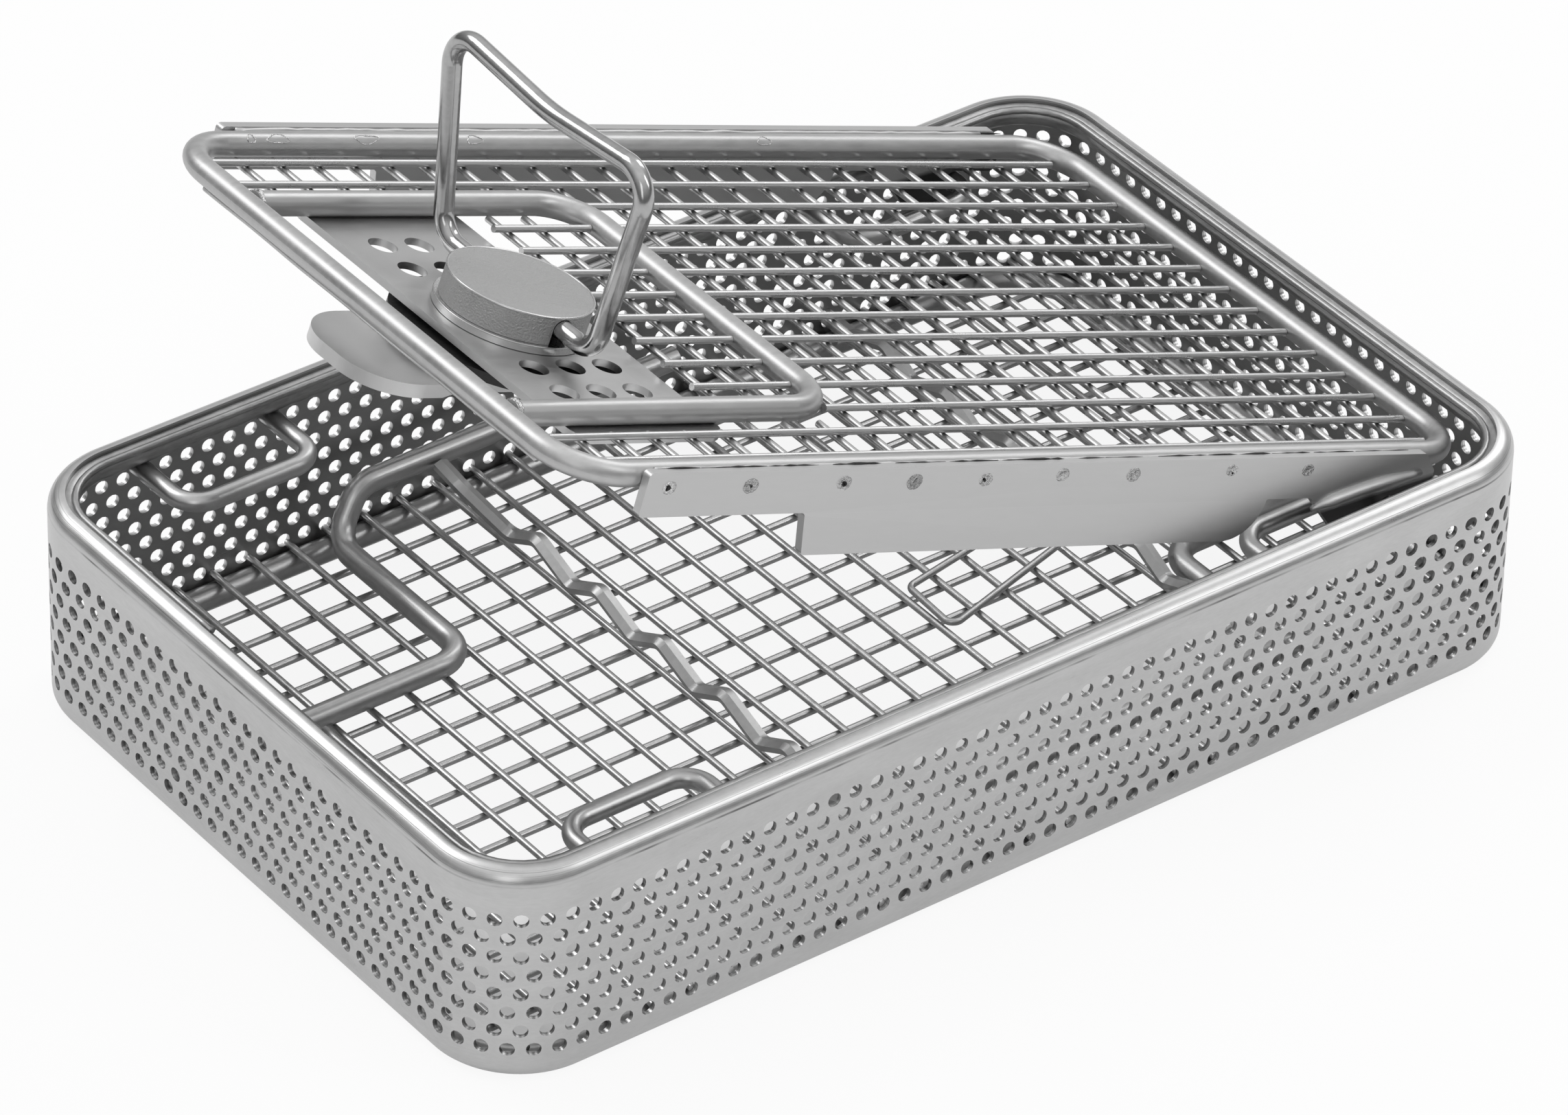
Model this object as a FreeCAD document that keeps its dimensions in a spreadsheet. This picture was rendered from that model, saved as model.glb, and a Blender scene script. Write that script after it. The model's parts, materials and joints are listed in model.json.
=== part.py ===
import FreeCAD, Part
import Sketcher
import math
import os

from FreeCAD import Placement, Rotation, Vector

# Instrument cassette: a perforated tray with a welded mesh floor and a hinged mesh lid
# that a turning tongue under a knob holds shut. Millimetres, +Z up, origin under the tray's centre.
# The hinge end is at +X, the latch end at -X. The lid stands partly open.

os.makedirs("parts", exist_ok=True)
doc = FreeCAD.newDocument("instrument_cassette")

# Driving dimensions
drivingSizes = [
    ("tray_length", 255, "outer length of the tray"),
    ("tray_width", 164, "outer width of the tray"),
    ("tray_height", 48.8, "height over the rim"),
    ("corner_radius", 20, "outer radius of the tray's corners"),
    ("sheet_thickness", 1, "wall sheet"),
    ("curl_land", 0.3, "short flat where the sheet's edge passes the top of the rod"),
    ("hole_size", 9, "perforation across its corners, at three times the real scale"),
    ("hole_pitch", 15, "distance between perforations along the wall"),
    ("hole_rows_height", 13, "distance between rows of perforations"),
    ("hole_edge", 9.8, "height of the lowest row"),
    ("rim_rod", 5, "diameter of the rods in the rim and in the foot"),
    ("weld_gap", 0.05, "seam between pieces welded together"),
    ("play", 0.3, "clearance between pieces that move past each other"),
    ("mesh_pitch", 9, "spacing of the mesh wires"),
    ("mesh_wire", 1.5, "diameter of the mesh wires"),
    ("loop_rod", 4, "diameter of the loops' rod"),
    ("loop_span", 30.5, "distance between the legs of a loop"),
    ("loop_reach", 20, "loop's cross bar from the tray's outer side"),
    ("loop_bend", 6, "bend radius of the loops"),
    ("latch_loop_inset", 29, "first leg of the latch loops from the latch end"),
    ("hinge_loop_inset", 33.5, "first leg of the hinge loops from the hinge end"),
    ("rest_rod", 5, "diameter of the bent rest rods"),
    ("rest_bend", 7, "bend radius of the rest rods"),
    ("rest_offset_left", 57.5, "left rest rod's cross run from the tray's middle"),
    ("rest_offset_right", 76.5, "right rest rod's cross run from the tray's middle"),
    ("rest_start", 25.7, "rest rod's first run from the tray's middle"),
    ("rest_rise", 20, "height of the rest rods' upper run"),
    ("rest_tail", 78, "length of the rest rods' upper run"),
    ("rest_climb", 7, "distance over which the rest rods climb"),
    ("rest_side", 8.05, "rest rods' upper run from the tray's outer side"),
    ("rail_offset_left", 27, "left wave rail from the tray's middle"),
    ("rail_offset_right", 71, "right wave rail from the tray's middle"),
    ("rail_width", 3.2, "wave rail across its flat flanks"),
    ("rail_depth", 2.6, "wave rail through its thickness"),
    ("rail_shift", 6, "sideways reach of the rails' raised ends"),
    ("rail_start", 11.55, "rails' raised ends from the tray's outer side"),
    ("rail_top_run", 7.5, "length of the rails' raised ends"),
    ("rail_lead", 9, "drop from the raised end to the first trough"),
    ("rail_bend", 3, "bend radius of the waves"),
    ("wave_pitch", 21, "length of a wave"),
    ("wave_rise_share", 0.42, "share of a wave's length in its short steep side"),
    ("wave_height", 4.4, "height of a wave from trough to crest"),
    ("wave_base", 9.6, "height of the troughs over the table"),
    ("lid_rod", 5, "diameter of the lid's rods"),
    ("lid_bend", 12, "bend radius of the lid frame"),
    ("lid_inset_hinge", 12.3, "lid frame's end rod from the hinge end, lid shut"),
    ("lid_inset_latch", 12.2, "lid frame's end rod from the latch end, lid shut"),
    ("lid_inset_side", 15.8, "lid frame's side rod from the tray's outer side"),
    ("lid_rise", 9.1, "lid plane over the hinge axis"),
    ("lid_open", 20.84, "opening of the lid, in degrees"),
    ("lid_pitch", 9.2, "spacing of the lid's long wires"),
    ("long_wire_drop", 0.8, "long wires below the lid plane"),
    ("yoke_length", 81.8, "inner rod's closed end from the lid's latch end"),
    ("yoke_drop", 0.35, "inner rod below the lid plane"),
    ("yoke_half", 42, "inner rod's arms from the middle"),
    ("yoke_bend", 10, "bend radius of the inner rod"),
    ("plate_sheet", 1.9, "thickness of the lid's side plates"),
    ("plate_rise", 2.4, "top edge of the side plates over the lid plane"),
    ("plate_end", 13.3, "side plate's end from the lid's latch end"),
    ("plate_deep", 15.8, "depth of the side plates below the lid plane"),
    ("plate_round", 1, "rounding of the side plates' corners"),
    ("plate_slant", 0.6, "slant of the side plates' latch end"),
    ("step_slant", 2.7, "slant of the step in the side plates"),
    ("plate_step", 7.6, "step in the side plate from the latch loop's leg"),
    ("notch_edge", 3.4, "side plate's deep part from the hinge loop's inner leg"),
    ("notch_curve", 8.5, "rounding of the deep part's corner"),
    ("notch_corner", 0.4, "rounding at the top of the notch"),
    ("hook_edge", 21.96, "front of the hook from the hinge axis"),
    ("hook_depth", 6.2, "underside of the hook below the hinge axis"),
    ("hook_tip", 3.2, "tip of the hook past the hinge axis"),
    ("hook_slope", 11, "length of the slope down to the hook"),
    ("hook_bend", 5, "rounding at the foot of the hook's slope"),
    ("hook_nose", 1.5, "rounding of the hook's tip"),
    ("hook_back", 9.94, "end of the side plate past the hinge axis"),
    ("hook_chamfer", 3.8, "slanted corner at the side plate's hinge end"),
    ("latch_sheet", 1.5, "thickness of the latch plate"),
    ("latch_plate_length", 37, "latch plate along the lid"),
    ("latch_plate_inset", 16.3, "latch plate's edge from the lid's latch end"),
    ("latch_plate_half", 47, "half the latch plate's width"),
    ("latch_plate_corner", 4, "rounding of the latch plate's corners"),
    ("recess_depth", 1.4, "depth of the pressed seat for the washer"),
    ("recess_radius", 14, "radius of the pressed seat"),
    ("plate_hole", 6, "diameter of the latch plate's holes"),
    ("plate_hole_pitch", 9, "spacing of the latch plate's holes along the lid"),
    ("plate_hole_row", 9.8, "spacing of the rows of holes"),
    ("plate_hole_first", 19.8, "first row of holes from the knob"),
    ("knob_inset", 35.2, "knob from the lid's latch end"),
    ("knob_diameter", 29.2, "knob"),
    ("knob_top", 4.6, "top of the knob over the lid plane"),
    ("knob_bore_depth", 3, "depth of the knob's bore for the latch pin"),
    ("washer_diameter", 31, "washer under the knob"),
    ("washer_thickness", 1.6, "washer under the knob"),
    ("disc_diameter", 46, "dark disc under the plate"),
    ("disc_thickness", 2, "dark disc under the plate"),
    ("pin_diameter", 8, "latch pin"),
    ("pin_play", 0.08, "running clearance round the latch pin and the bail"),
    ("pin_head", 14, "head of the latch pin"),
    ("pin_head_height", 1.4, "head of the latch pin"),
    ("tongue_width", 29.6, "latch tongue"),
    ("tongue_thickness", 2.8, "latch tongue"),
    ("tongue_joggle", 1, "step down of the tongue's end"),
    ("tongue_step", 12.7, "step in the tongue from the lid's latch end"),
    ("tongue_slope", 1.6, "half the length of the tongue's step"),
    ("tongue_round", 1, "rounding of the tongue's step"),
    ("tongue_corner", 12, "rounding of the tongue's tip"),
    ("bail_rod", 4, "diameter of the bail's rod"),
    ("bail_rise", 2.1, "bail's axis over the lid plane"),
    ("bail_seat", 9.5, "end of the bail's rod from the knob's middle"),
    ("bail_foot", 24.5, "foot of the bail from the middle"),
    ("bail_half", 31.8, "half width at the bail's shoulders"),
    ("bail_height", 41.3, "bail's shoulders over its axis"),
    ("bail_dip", 2.6, "dip in the middle of the bail's grip"),
    ("bail_bend", 6, "bend radius of the bail"),
    ("dip_bend", 60, "bend radius of the dip in the bail's grip"),
    ("bail_lean", 10, "lean of the bail towards the latch end, in degrees"),
    ("clip_wire", 1.5, "diameter of the clip's spring wire"),
    ("clip_bend", 2, "bend radius of the clip"),
    ("clip_front_x", 62, "clip's front leg, its free end from the tray's middle"),
    ("clip_front_y", -9.5, "clip's front leg, its free end"),
    ("clip_corner_x", 27.7, "clip's front corner"),
    ("clip_corner_y", -19.3, "clip's front corner"),
    ("clip_turn_x", 28.6, "clip's back corner"),
    ("clip_turn_y", -3.8, "clip's back corner"),
    ("clip_back_x", 60, "clip's back leg, its free end"),
    ("clip_back_y", 2, "clip's back leg, its free end"),
]

sizes = doc.addObject("Spreadsheet::Sheet", "sizes")
sizes.set("A1", "name")
sizes.set("B1", "value")
sizes.set("C1", "meaning")
for sheetRow, (alias, number, meaning) in enumerate(drivingSizes, start=2):
    sizes.set(f"A{sheetRow}", alias)
    sizes.set(f"B{sheetRow}", str(number))
    sizes.setAlias(f"B{sheetRow}", alias)
    sizes.set(f"C{sheetRow}", meaning)
doc.recompute()


def valueOf(expression):
    """Number that an expression of the sheet gives now."""
    result = sizes.evalExpression(expression)
    return float(getattr(result, "Value", result))


def size(alias):
    return valueOf(f"sizes.{alias}")


# Lengths that follow from the driving ones
halfLength = "(sizes.tray_length / 2)"
halfWidth = "(sizes.tray_width / 2)"
curlRadius = "(sizes.rim_rod / 2 + sizes.weld_gap + sizes.sheet_thickness)"
rimLevel = f"(sizes.tray_height - {curlRadius})"
wallInside = f"({halfWidth} - sizes.sheet_thickness - sizes.weld_gap)"
endInside = f"({halfLength} - sizes.sheet_thickness - sizes.weld_gap)"
loopLevel = f"({rimLevel} - sizes.rim_rod / 2 - sizes.loop_rod / 2 - sizes.weld_gap)"
loopBar = f"({halfWidth} - sizes.loop_reach)"
topWireLevel = f"({curlRadius} + sizes.rim_rod / 2 + sizes.mesh_wire / 2 + sizes.weld_gap)"
lowWireLevel = f"({topWireLevel} - sizes.mesh_wire - sizes.weld_gap)"
floorTop = f"({topWireLevel} + sizes.mesh_wire / 2)"

# The lid is drawn shut, from its hinge axis, with +X towards the hinge end
pivotX = f"({halfLength} - sizes.hinge_loop_inset)"
lidRight = "(sizes.hinge_loop_inset - sizes.lid_inset_hinge)"
lidLeft = "(sizes.hinge_loop_inset + sizes.lid_inset_latch - sizes.tray_length)"
lidSide = f"({halfWidth} - sizes.lid_inset_side)"
longWireZ = "(sizes.lid_rise - sizes.long_wire_drop)"
crossWireZ = f"({longWireZ} - sizes.mesh_wire - sizes.weld_gap)"
yokeZ = "(sizes.lid_rise - sizes.yoke_drop)"
yokeEnd = f"({lidLeft} + sizes.yoke_length)"
plateEdge = f"({lidLeft} + sizes.latch_plate_inset + sizes.latch_plate_length)"
latchPlateTop = f"({yokeZ} - sizes.lid_rod / 2 - sizes.weld_gap)"
latchPlateUnder = f"({latchPlateTop} - sizes.latch_sheet)"
recessUnder = f"({latchPlateUnder} - sizes.recess_depth)"
knobX = f"({lidLeft} + sizes.knob_inset)"
washerUnder = f"({latchPlateTop} + sizes.play / 3)"
knobUnder = f"({washerUnder} + sizes.washer_thickness + sizes.weld_gap)"
discTop = f"({recessUnder} - sizes.play / 3)"
discUnder = f"({discTop} - sizes.disc_thickness)"
tongueTop = f"({discUnder} - sizes.weld_gap)"
tongueUnder = f"({tongueTop} - sizes.tongue_thickness)"
bailZ = "(sizes.lid_rise + sizes.bail_rise)"

subParts = []


def place(item, x, y, z, turn=None):
    """Bind an object's place to the sheet; turn is an angle about Y in degrees."""
    item.Placement = Placement(Vector(0, 0, 0), Rotation(Vector(0, 1, 0), 1))
    item.setExpression("Placement.Base.x", x)
    item.setExpression("Placement.Base.y", y)
    item.setExpression("Placement.Base.z", z)
    item.setExpression("Placement.Rotation.Angle", f"({turn or '0'}) * 1 deg")


def inTray(item, z="0"):
    place(item, "0", "0", z)


def inLid(item):
    place(item, pivotX, "0", loopLevel, "sizes.lid_open")


def onLid(item, x, z, lean):
    """Place an object at a point of the open lid, turned by lean about Y."""
    angle = "sizes.lid_open * 1 deg"
    worldX = f"{pivotX} + cos({angle}) * {x} + sin({angle}) * {z}"
    worldZ = f"{loopLevel} - sin({angle}) * {x} + cos({angle}) * {z}"
    place(item, worldX, "0", worldZ, lean)


def newBody(label):
    body = doc.addObject("PartDesign::Body", label)
    body.Label = label
    subParts.append(body)
    return body


def planeOf(body, role):
    return next(feature for feature in body.Origin.OriginFeatures if feature.Role == role)


def newSketch(body, name, role, offset="0"):
    sketch = body.newObject("Sketcher::SketchObject", name)
    sketch.AttachmentSupport = [(planeOf(body, role), "")]
    sketch.MapMode = "FlatFace"
    sketch.setExpression("AttachmentOffset.Base.z", offset)
    return sketch


def bindPoint(sketch, geometry, vertex, x, y):
    """Hold one sketch point at two distances that the sheet gives."""
    for kind, expression in (("DistanceX", x), ("DistanceY", y)):
        index = sketch.addConstraint(Sketcher.Constraint(kind, -1, 1, geometry, vertex, valueOf(expression)))
        sketch.setExpression(f"Constraints[{index}]", expression)


def cornerNumbers(corners):
    """Places and bend radii of a route's corners as plain numbers."""
    points = [Vector(valueOf(x), valueOf(y), 0) for x, y, bend in corners]
    bends = [valueOf(bend) if bend else 0 for x, y, bend in corners]
    return points, bends


def drawRoute(sketch, corners, closed=False):
    """Draw straight runs joined by tangent arcs; each corner is (x, y, bend radius or None)."""
    points, bends = cornerNumbers(corners)
    count = len(points)
    runs = count if closed else count - 1
    starts = []
    ends = []
    arcs = []
    for index in range(count):
        here = points[index]
        before = points[index - 1]
        after = points[(index + 1) % count]
        if not bends[index]:
            starts.append(here)
            ends.append(here)
            arcs.append(None)
            continue
        inward = (before - here).normalize()
        outward = (after - here).normalize()
        half = inward.getAngle(outward) / 2
        reach = bends[index] / math.tan(half)
        centre = here + (inward + outward).normalize() * (bends[index] / math.sin(half))
        entry = here + inward * reach
        leave = here + outward * reach
        starts.append(leave)
        ends.append(entry)
        turnsLeft = (here - before).cross(after - here).z > 0
        first, last = (entry, leave) if turnsLeft else (leave, entry)
        angles = [math.atan2(p.y - centre.y, p.x - centre.x) for p in (first, last)]
        circle = Part.Circle(centre, Vector(0, 0, 1), bends[index])
        arcs.append((Part.ArcOfCircle(circle, *angles), 1 if turnsLeft else 2))
    lines = []
    for run in range(runs):
        segment = Part.LineSegment(starts[run], ends[(run + 1) % count])
        lines.append(sketch.addGeometry(segment, False))
    for index in range(count):
        x, y, bend = corners[index]
        incoming = lines[index - 1] if closed or index > 0 else None
        outgoing = lines[index] if index < runs else None
        if arcs[index] is None:
            if incoming is not None and outgoing is not None:
                sketch.addConstraint(Sketcher.Constraint("Coincident", incoming, 2, outgoing, 1))
            if outgoing is not None:
                bindPoint(sketch, outgoing, 1, x, y)
            else:
                bindPoint(sketch, incoming, 2, x, y)
            continue
        arc, entrySide = arcs[index]
        bow = sketch.addGeometry(arc, False)
        sketch.addConstraint(Sketcher.Constraint("Tangent", incoming, 2, bow, entrySide))
        sketch.addConstraint(Sketcher.Constraint("Tangent", outgoing, 1, bow, 3 - entrySide))
        radius = sketch.addConstraint(Sketcher.Constraint("Radius", bow, bends[index]))
        sketch.setExpression(f"Constraints[{radius}]", bend)
        corner = sketch.addGeometry(Part.Point(points[index]), True)
        sketch.addConstraint(Sketcher.Constraint("PointOnObject", corner, 1, incoming))
        sketch.addConstraint(Sketcher.Constraint("PointOnObject", corner, 1, outgoing))
        bindPoint(sketch, corner, 1, x, y)


def drawCircle(sketch, x, y, diameter):
    circle = Part.Circle(Vector(valueOf(x), valueOf(y), 0), Vector(0, 0, 1), valueOf(diameter) / 2)
    round_ = sketch.addGeometry(circle, False)
    bindPoint(sketch, round_, 3, x, y)
    index = sketch.addConstraint(Sketcher.Constraint("Diameter", round_, valueOf(diameter)))
    sketch.setExpression(f"Constraints[{index}]", diameter)


def rodBody(label, corners, diameter, level="0", closed=False, plane="XY_Plane"):
    """A round rod bent in one plane; its first run lies along X or Y."""
    body = newBody(label)
    route = newSketch(body, label + "_route", plane, level)
    drawRoute(route, corners, closed)
    startX, startY, bend = corners[0]
    alongY = abs(valueOf(f"{corners[1][0]} - ({startX})")) < abs(valueOf(f"{corners[1][1]} - ({startY})"))
    if plane == "YZ_Plane":
        section = newSketch(body, label + "_section", "XZ_Plane", f"-({startX})")
        drawCircle(section, level, startY, diameter)
    elif alongY:
        section = newSketch(body, label + "_section", "XZ_Plane", f"-({startY})")
        drawCircle(section, startX, level, diameter)
    else:
        section = newSketch(body, label + "_section", "YZ_Plane", startX)
        drawCircle(section, startY, level, diameter)
    rod = body.newObject("PartDesign::AdditivePipe", label + "_rod")
    rod.Profile = section
    rod.Spine = route
    body.Tip = rod
    return body


def rectangleRoute(right, left, side, bend):
    """A rounded rectangle that starts on its back side above x = 0."""
    return [
        ("0", side, None),
        (left, side, bend),
        (left, f"-({side})", bend),
        (right, f"-({side})", bend),
        (right, side, bend),
    ]


# Tray wall
def hexagonAt(x, y):
    corner = "sizes.hole_size / 2"
    points = []
    for step in range(6):
        angle = f"{30 + 60 * step} * 1 deg"
        points.append((f"{x} + {corner} * cos({angle})", f"{y} + {corner} * sin({angle})", None))
    return points


def holeColumn(sketch, x):
    """Three staggered holes one over the other, the middle one half a pitch aside."""
    for row in range(3):
        shift = "sizes.hole_pitch / 2" if row == 1 else "0"
        level = f"sizes.hole_edge + {row} * sizes.hole_rows_height"
        drawRoute(sketch, hexagonAt(f"{x} + {shift}", level), closed=True)


def sideHoles(body, role, half, name):
    """Holes through both opposite walls, in a row of columns."""
    straight = valueOf(f"2 * ({half} - sizes.corner_radius) - sizes.hole_size / 2")
    columns = int((straight - size("hole_pitch") / 2) // size("hole_pitch")) + 1
    first = f"-({columns} - 0.5) * sizes.hole_pitch / 2"
    sketch = newSketch(body, name + "_holes", role)
    holeColumn(sketch, first)
    pocket = body.newObject("PartDesign::Pocket", name + "_pocket")
    pocket.Profile = sketch
    pocket.Type = "ThroughAll"
    pocket.Midplane = True
    pattern = body.newObject("PartDesign::LinearPattern", name + "_pattern")
    pattern.Originals = [pocket]
    pattern.Direction = (sketch, ["H_Axis"])
    pattern.Occurrences = columns
    pattern.setExpression("Length", f"{columns - 1} * sizes.hole_pitch")
    body.Tip = pattern


def cornerHoles(body, signX, signY, name):
    """Holes through one rounded corner, cut along its diagonal."""
    sketch = newSketch(body, name + "_holes", "XZ_Plane")
    turn = math.degrees(math.atan2(signX, -signY))
    sketch.AttachmentOffset = Placement(Vector(0, 0, 0), Rotation(Vector(0, 1, 0), turn))
    sketch.setExpression("AttachmentOffset.Base.x", f"{signX} * ({halfLength} - sizes.corner_radius)")
    sketch.setExpression("AttachmentOffset.Base.z", f"{-signY} * ({halfWidth} - sizes.corner_radius)")
    aside = "sizes.corner_radius * sin(sizes.hole_pitch / sizes.corner_radius / 2 * 1 rad)"
    for row in range(3):
        level = f"sizes.hole_edge + {row} * sizes.hole_rows_height"
        for x in (["0"] if row == 1 else [f"-({aside})", aside]):
            drawRoute(sketch, hexagonAt(x, level), closed=True)
    pocket = body.newObject("PartDesign::Pocket", name + "_pocket")
    pocket.Profile = sketch
    pocket.Type = "Length"
    pocket.setExpression("Length", "sizes.corner_radius + sizes.sheet_thickness")
    pocket.Reversed = True
    body.Tip = pocket


def trayWall():
    body = newBody("tray_wall")
    route = newSketch(body, "wall_route", "XY_Plane")
    drawRoute(route, rectangleRoute(halfLength, f"-({halfLength})", halfWidth, "sizes.corner_radius"), True)
    section = newSketch(body, "wall_section", "YZ_Plane")
    curlEnd = f"({halfWidth} - {curlRadius} - sizes.curl_land)"
    inner = f"({halfWidth} - sizes.sheet_thickness)"
    innerBend = f"({curlRadius} - sizes.sheet_thickness)"
    under = "(sizes.tray_height - sizes.sheet_thickness)"
    drawRoute(section, [
        (curlEnd, "0", None),
        (halfWidth, "0", curlRadius),
        (halfWidth, "sizes.tray_height", curlRadius),
        (curlEnd, "sizes.tray_height", None),
        (curlEnd, under, None),
        (inner, under, innerBend),
        (inner, "sizes.sheet_thickness", innerBend),
        (curlEnd, "sizes.sheet_thickness", None),
    ], True)
    sheet = body.newObject("PartDesign::AdditivePipe", "wall_sheet")
    sheet.Profile = section
    sheet.Spine = route
    body.Tip = sheet
    doc.recompute()
    sideHoles(body, "XZ_Plane", halfLength, "long_side")
    sideHoles(body, "YZ_Plane", halfWidth, "short_side")
    doc.recompute()
    for signX in (-1, 1):
        for signY in (-1, 1):
            name = f"{'hinge' if signX > 0 else 'latch'}_{'back' if signY > 0 else 'front'}_corner"
            cornerHoles(body, signX, signY, name)
    inTray(body)


# Rods of the tray
def trayRods():
    inset = curlRadius
    bend = f"(sizes.corner_radius - {inset})"
    route = rectangleRoute(f"({halfLength} - {inset})", f"(-({halfLength}) + {inset})",
                           f"({halfWidth} - {inset})", bend)
    for label, level in (("rim_rod", rimLevel), ("floor_frame_rod", curlRadius)):
        inTray(rodBody(label, route, "sizes.rim_rod", "0", True), z=level)
    latchLeg = f"(-({halfLength}) + sizes.latch_loop_inset)"
    hingeLeg = f"({pivotX} - sizes.loop_span)"
    for end, leg in (("latch", latchLeg), ("hinge", hingeLeg)):
        for side, sign in (("front", "-1"), ("back", "1")):
            route = [
                (leg, f"{sign} * {wallInside}", None),
                (leg, f"{sign} * {loopBar}", "sizes.loop_bend"),
                (f"({leg} + sizes.loop_span)", f"{sign} * {loopBar}", "sizes.loop_bend"),
                (f"({leg} + sizes.loop_span)", f"{sign} * {wallInside}", None),
            ]
            inTray(rodBody(f"{end}_loop_{side}", route, "sizes.loop_rod"), z=loopLevel)


# Rods that bend out of one plane
def bentPath(points, bend):
    """Wire of straight runs and tangent arcs through points in space."""
    edges = []
    last = points[0]
    for before, here, after in zip(points, points[1:], points[2:]):
        inward = (before - here).normalize()
        outward = (after - here).normalize()
        half = inward.getAngle(outward) / 2
        reach = bend / math.tan(half)
        middle = (inward + outward).normalize()
        centre = here + middle * (bend / math.sin(half))
        entry = here + inward * reach
        leave = here + outward * reach
        edges.append(Part.LineSegment(last, entry).toShape())
        edges.append(Part.Arc(entry, centre - middle * bend, leave).toShape())
        last = leave
    edges.append(Part.LineSegment(last, points[-1]).toShape())
    return Part.Wire(edges)


def bentRod(label, points, bend, sectionAt):
    """A rod along points in space; sectionAt gives its section at a point and direction."""
    path = bentPath(points, bend)
    section = sectionAt(points[0], points[1] - points[0])
    rod = doc.addObject("Part::Feature", label)
    rod.Label = label
    rod.Shape = path.makePipeShell([section], True, False)
    subParts.append(rod)
    return rod


def roundSection(radius):
    return lambda place_, direction: Part.Wire(Part.Circle(place_, direction, radius).toShape())


def flatSection(width, depth):
    """A six-sided section with two upright flanks."""
    def drawn(place_, direction):
        up = Vector(0, 0, 1)
        aside = direction.cross(up).normalize()
        up = aside.cross(direction).normalize()
        outline = ((1, 0.5), (0, 1), (-1, 0.5), (-1, -0.5), (0, -1), (1, -0.5))
        corners = [place_ + aside * (a * width / 2) + up * (b * depth / 2) for a, b in outline]
        return Part.makePolygon(corners + corners[:1])
    return drawn


def restRod(label, offset, sign):
    """A rod from the end wall that turns across the tray and climbs to an upper run."""
    radius = size("rest_rod") / 2
    low = valueOf(floorTop) + radius + size("weld_gap")
    runY = valueOf(f"{halfWidth} - sizes.rest_side")
    climb = size("rest_climb")
    points = [
        Vector(valueOf(endInside), size("rest_start"), low),
        Vector(offset, size("rest_start"), low),
        Vector(offset, runY - climb / 3, low),  # the climb starts just before the side run
        Vector(offset - climb, runY, size("rest_rise")),
        Vector(offset - climb - size("rest_tail"), runY, size("rest_rise")),
    ]
    points = [Vector(sign * p.x, -sign * p.y, p.z) for p in points]
    bentRod(label, points, size("rest_bend"), roundSection(radius))


def waveRail(label, offset, sign):
    """A flat-sided rail whose waves run across the tray, with a raised end at one wall."""
    trough = size("wave_base")
    crest = trough + size("wave_height")
    rise = size("wave_pitch") * size("wave_rise_share")
    fall = size("wave_pitch") - rise
    far = valueOf(wallInside)
    start = valueOf(f"{halfWidth} - sizes.rail_start")
    dip = start - size("rail_top_run")
    first = dip - size("rail_lead")
    aside = sign * offset - size("rail_shift")
    level = size("rest_rise")
    points = [Vector(aside, start, level), Vector(aside, dip, level - size("rail_depth") / 2)]
    place = first
    while place > 2 * size("rail_bend") - far:
        high = len(points) % 2 == 1
        points.append(Vector(sign * offset, place, crest if high else trough))
        place -= fall if high else rise
    points.append(Vector(sign * offset, -far, points[-1].z))
    points = [Vector(p.x, -sign * p.y, p.z) for p in points]
    bentRod(label, points, size("rail_bend"), flatSection(size("rail_width"), size("rail_depth")))


# Mesh wires
def wireGrid(label, wires, setPlace):
    """Separate straight wires; each is (along, from, to, across, level) with along X or Y."""
    cylinders = []
    for index, (along, start, end, across, level) in enumerate(wires):
        wire = doc.addObject("Part::Cylinder", f"{label}_{index + 1}")
        wire.setExpression("Radius", "sizes.mesh_wire / 2")
        wire.setExpression("Height", f"({end}) - ({start})")
        turn = Rotation(Vector(0, 0, 1), Vector(1, 0, 0) if along == "X" else Vector(0, 1, 0))
        wire.Placement = Placement(Vector(0, 0, 0), turn)
        wire.setExpression("Placement.Base.x", start if along == "X" else across)
        wire.setExpression("Placement.Base.y", across if along == "X" else start)
        wire.setExpression("Placement.Base.z", level)
        cylinders.append(wire)
    grid = doc.addObject("Part::Compound", label)
    grid.Label = label
    grid.Links = cylinders
    setPlace(grid)
    subParts.append(grid)


def roundedEnd(straightEnd, centre, radius, offset, offsetCentre):
    """End of a wire inside a frame, shorter where the frame's corner bends in."""
    past = valueOf(f"{offset} + sizes.mesh_wire / 2 - ({offsetCentre})")
    if past <= 0:
        return straightEnd
    return f"({centre} + sqrt(({radius})^2 - ({offset} + sizes.mesh_wire / 2 - ({offsetCentre}))^2))"


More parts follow.
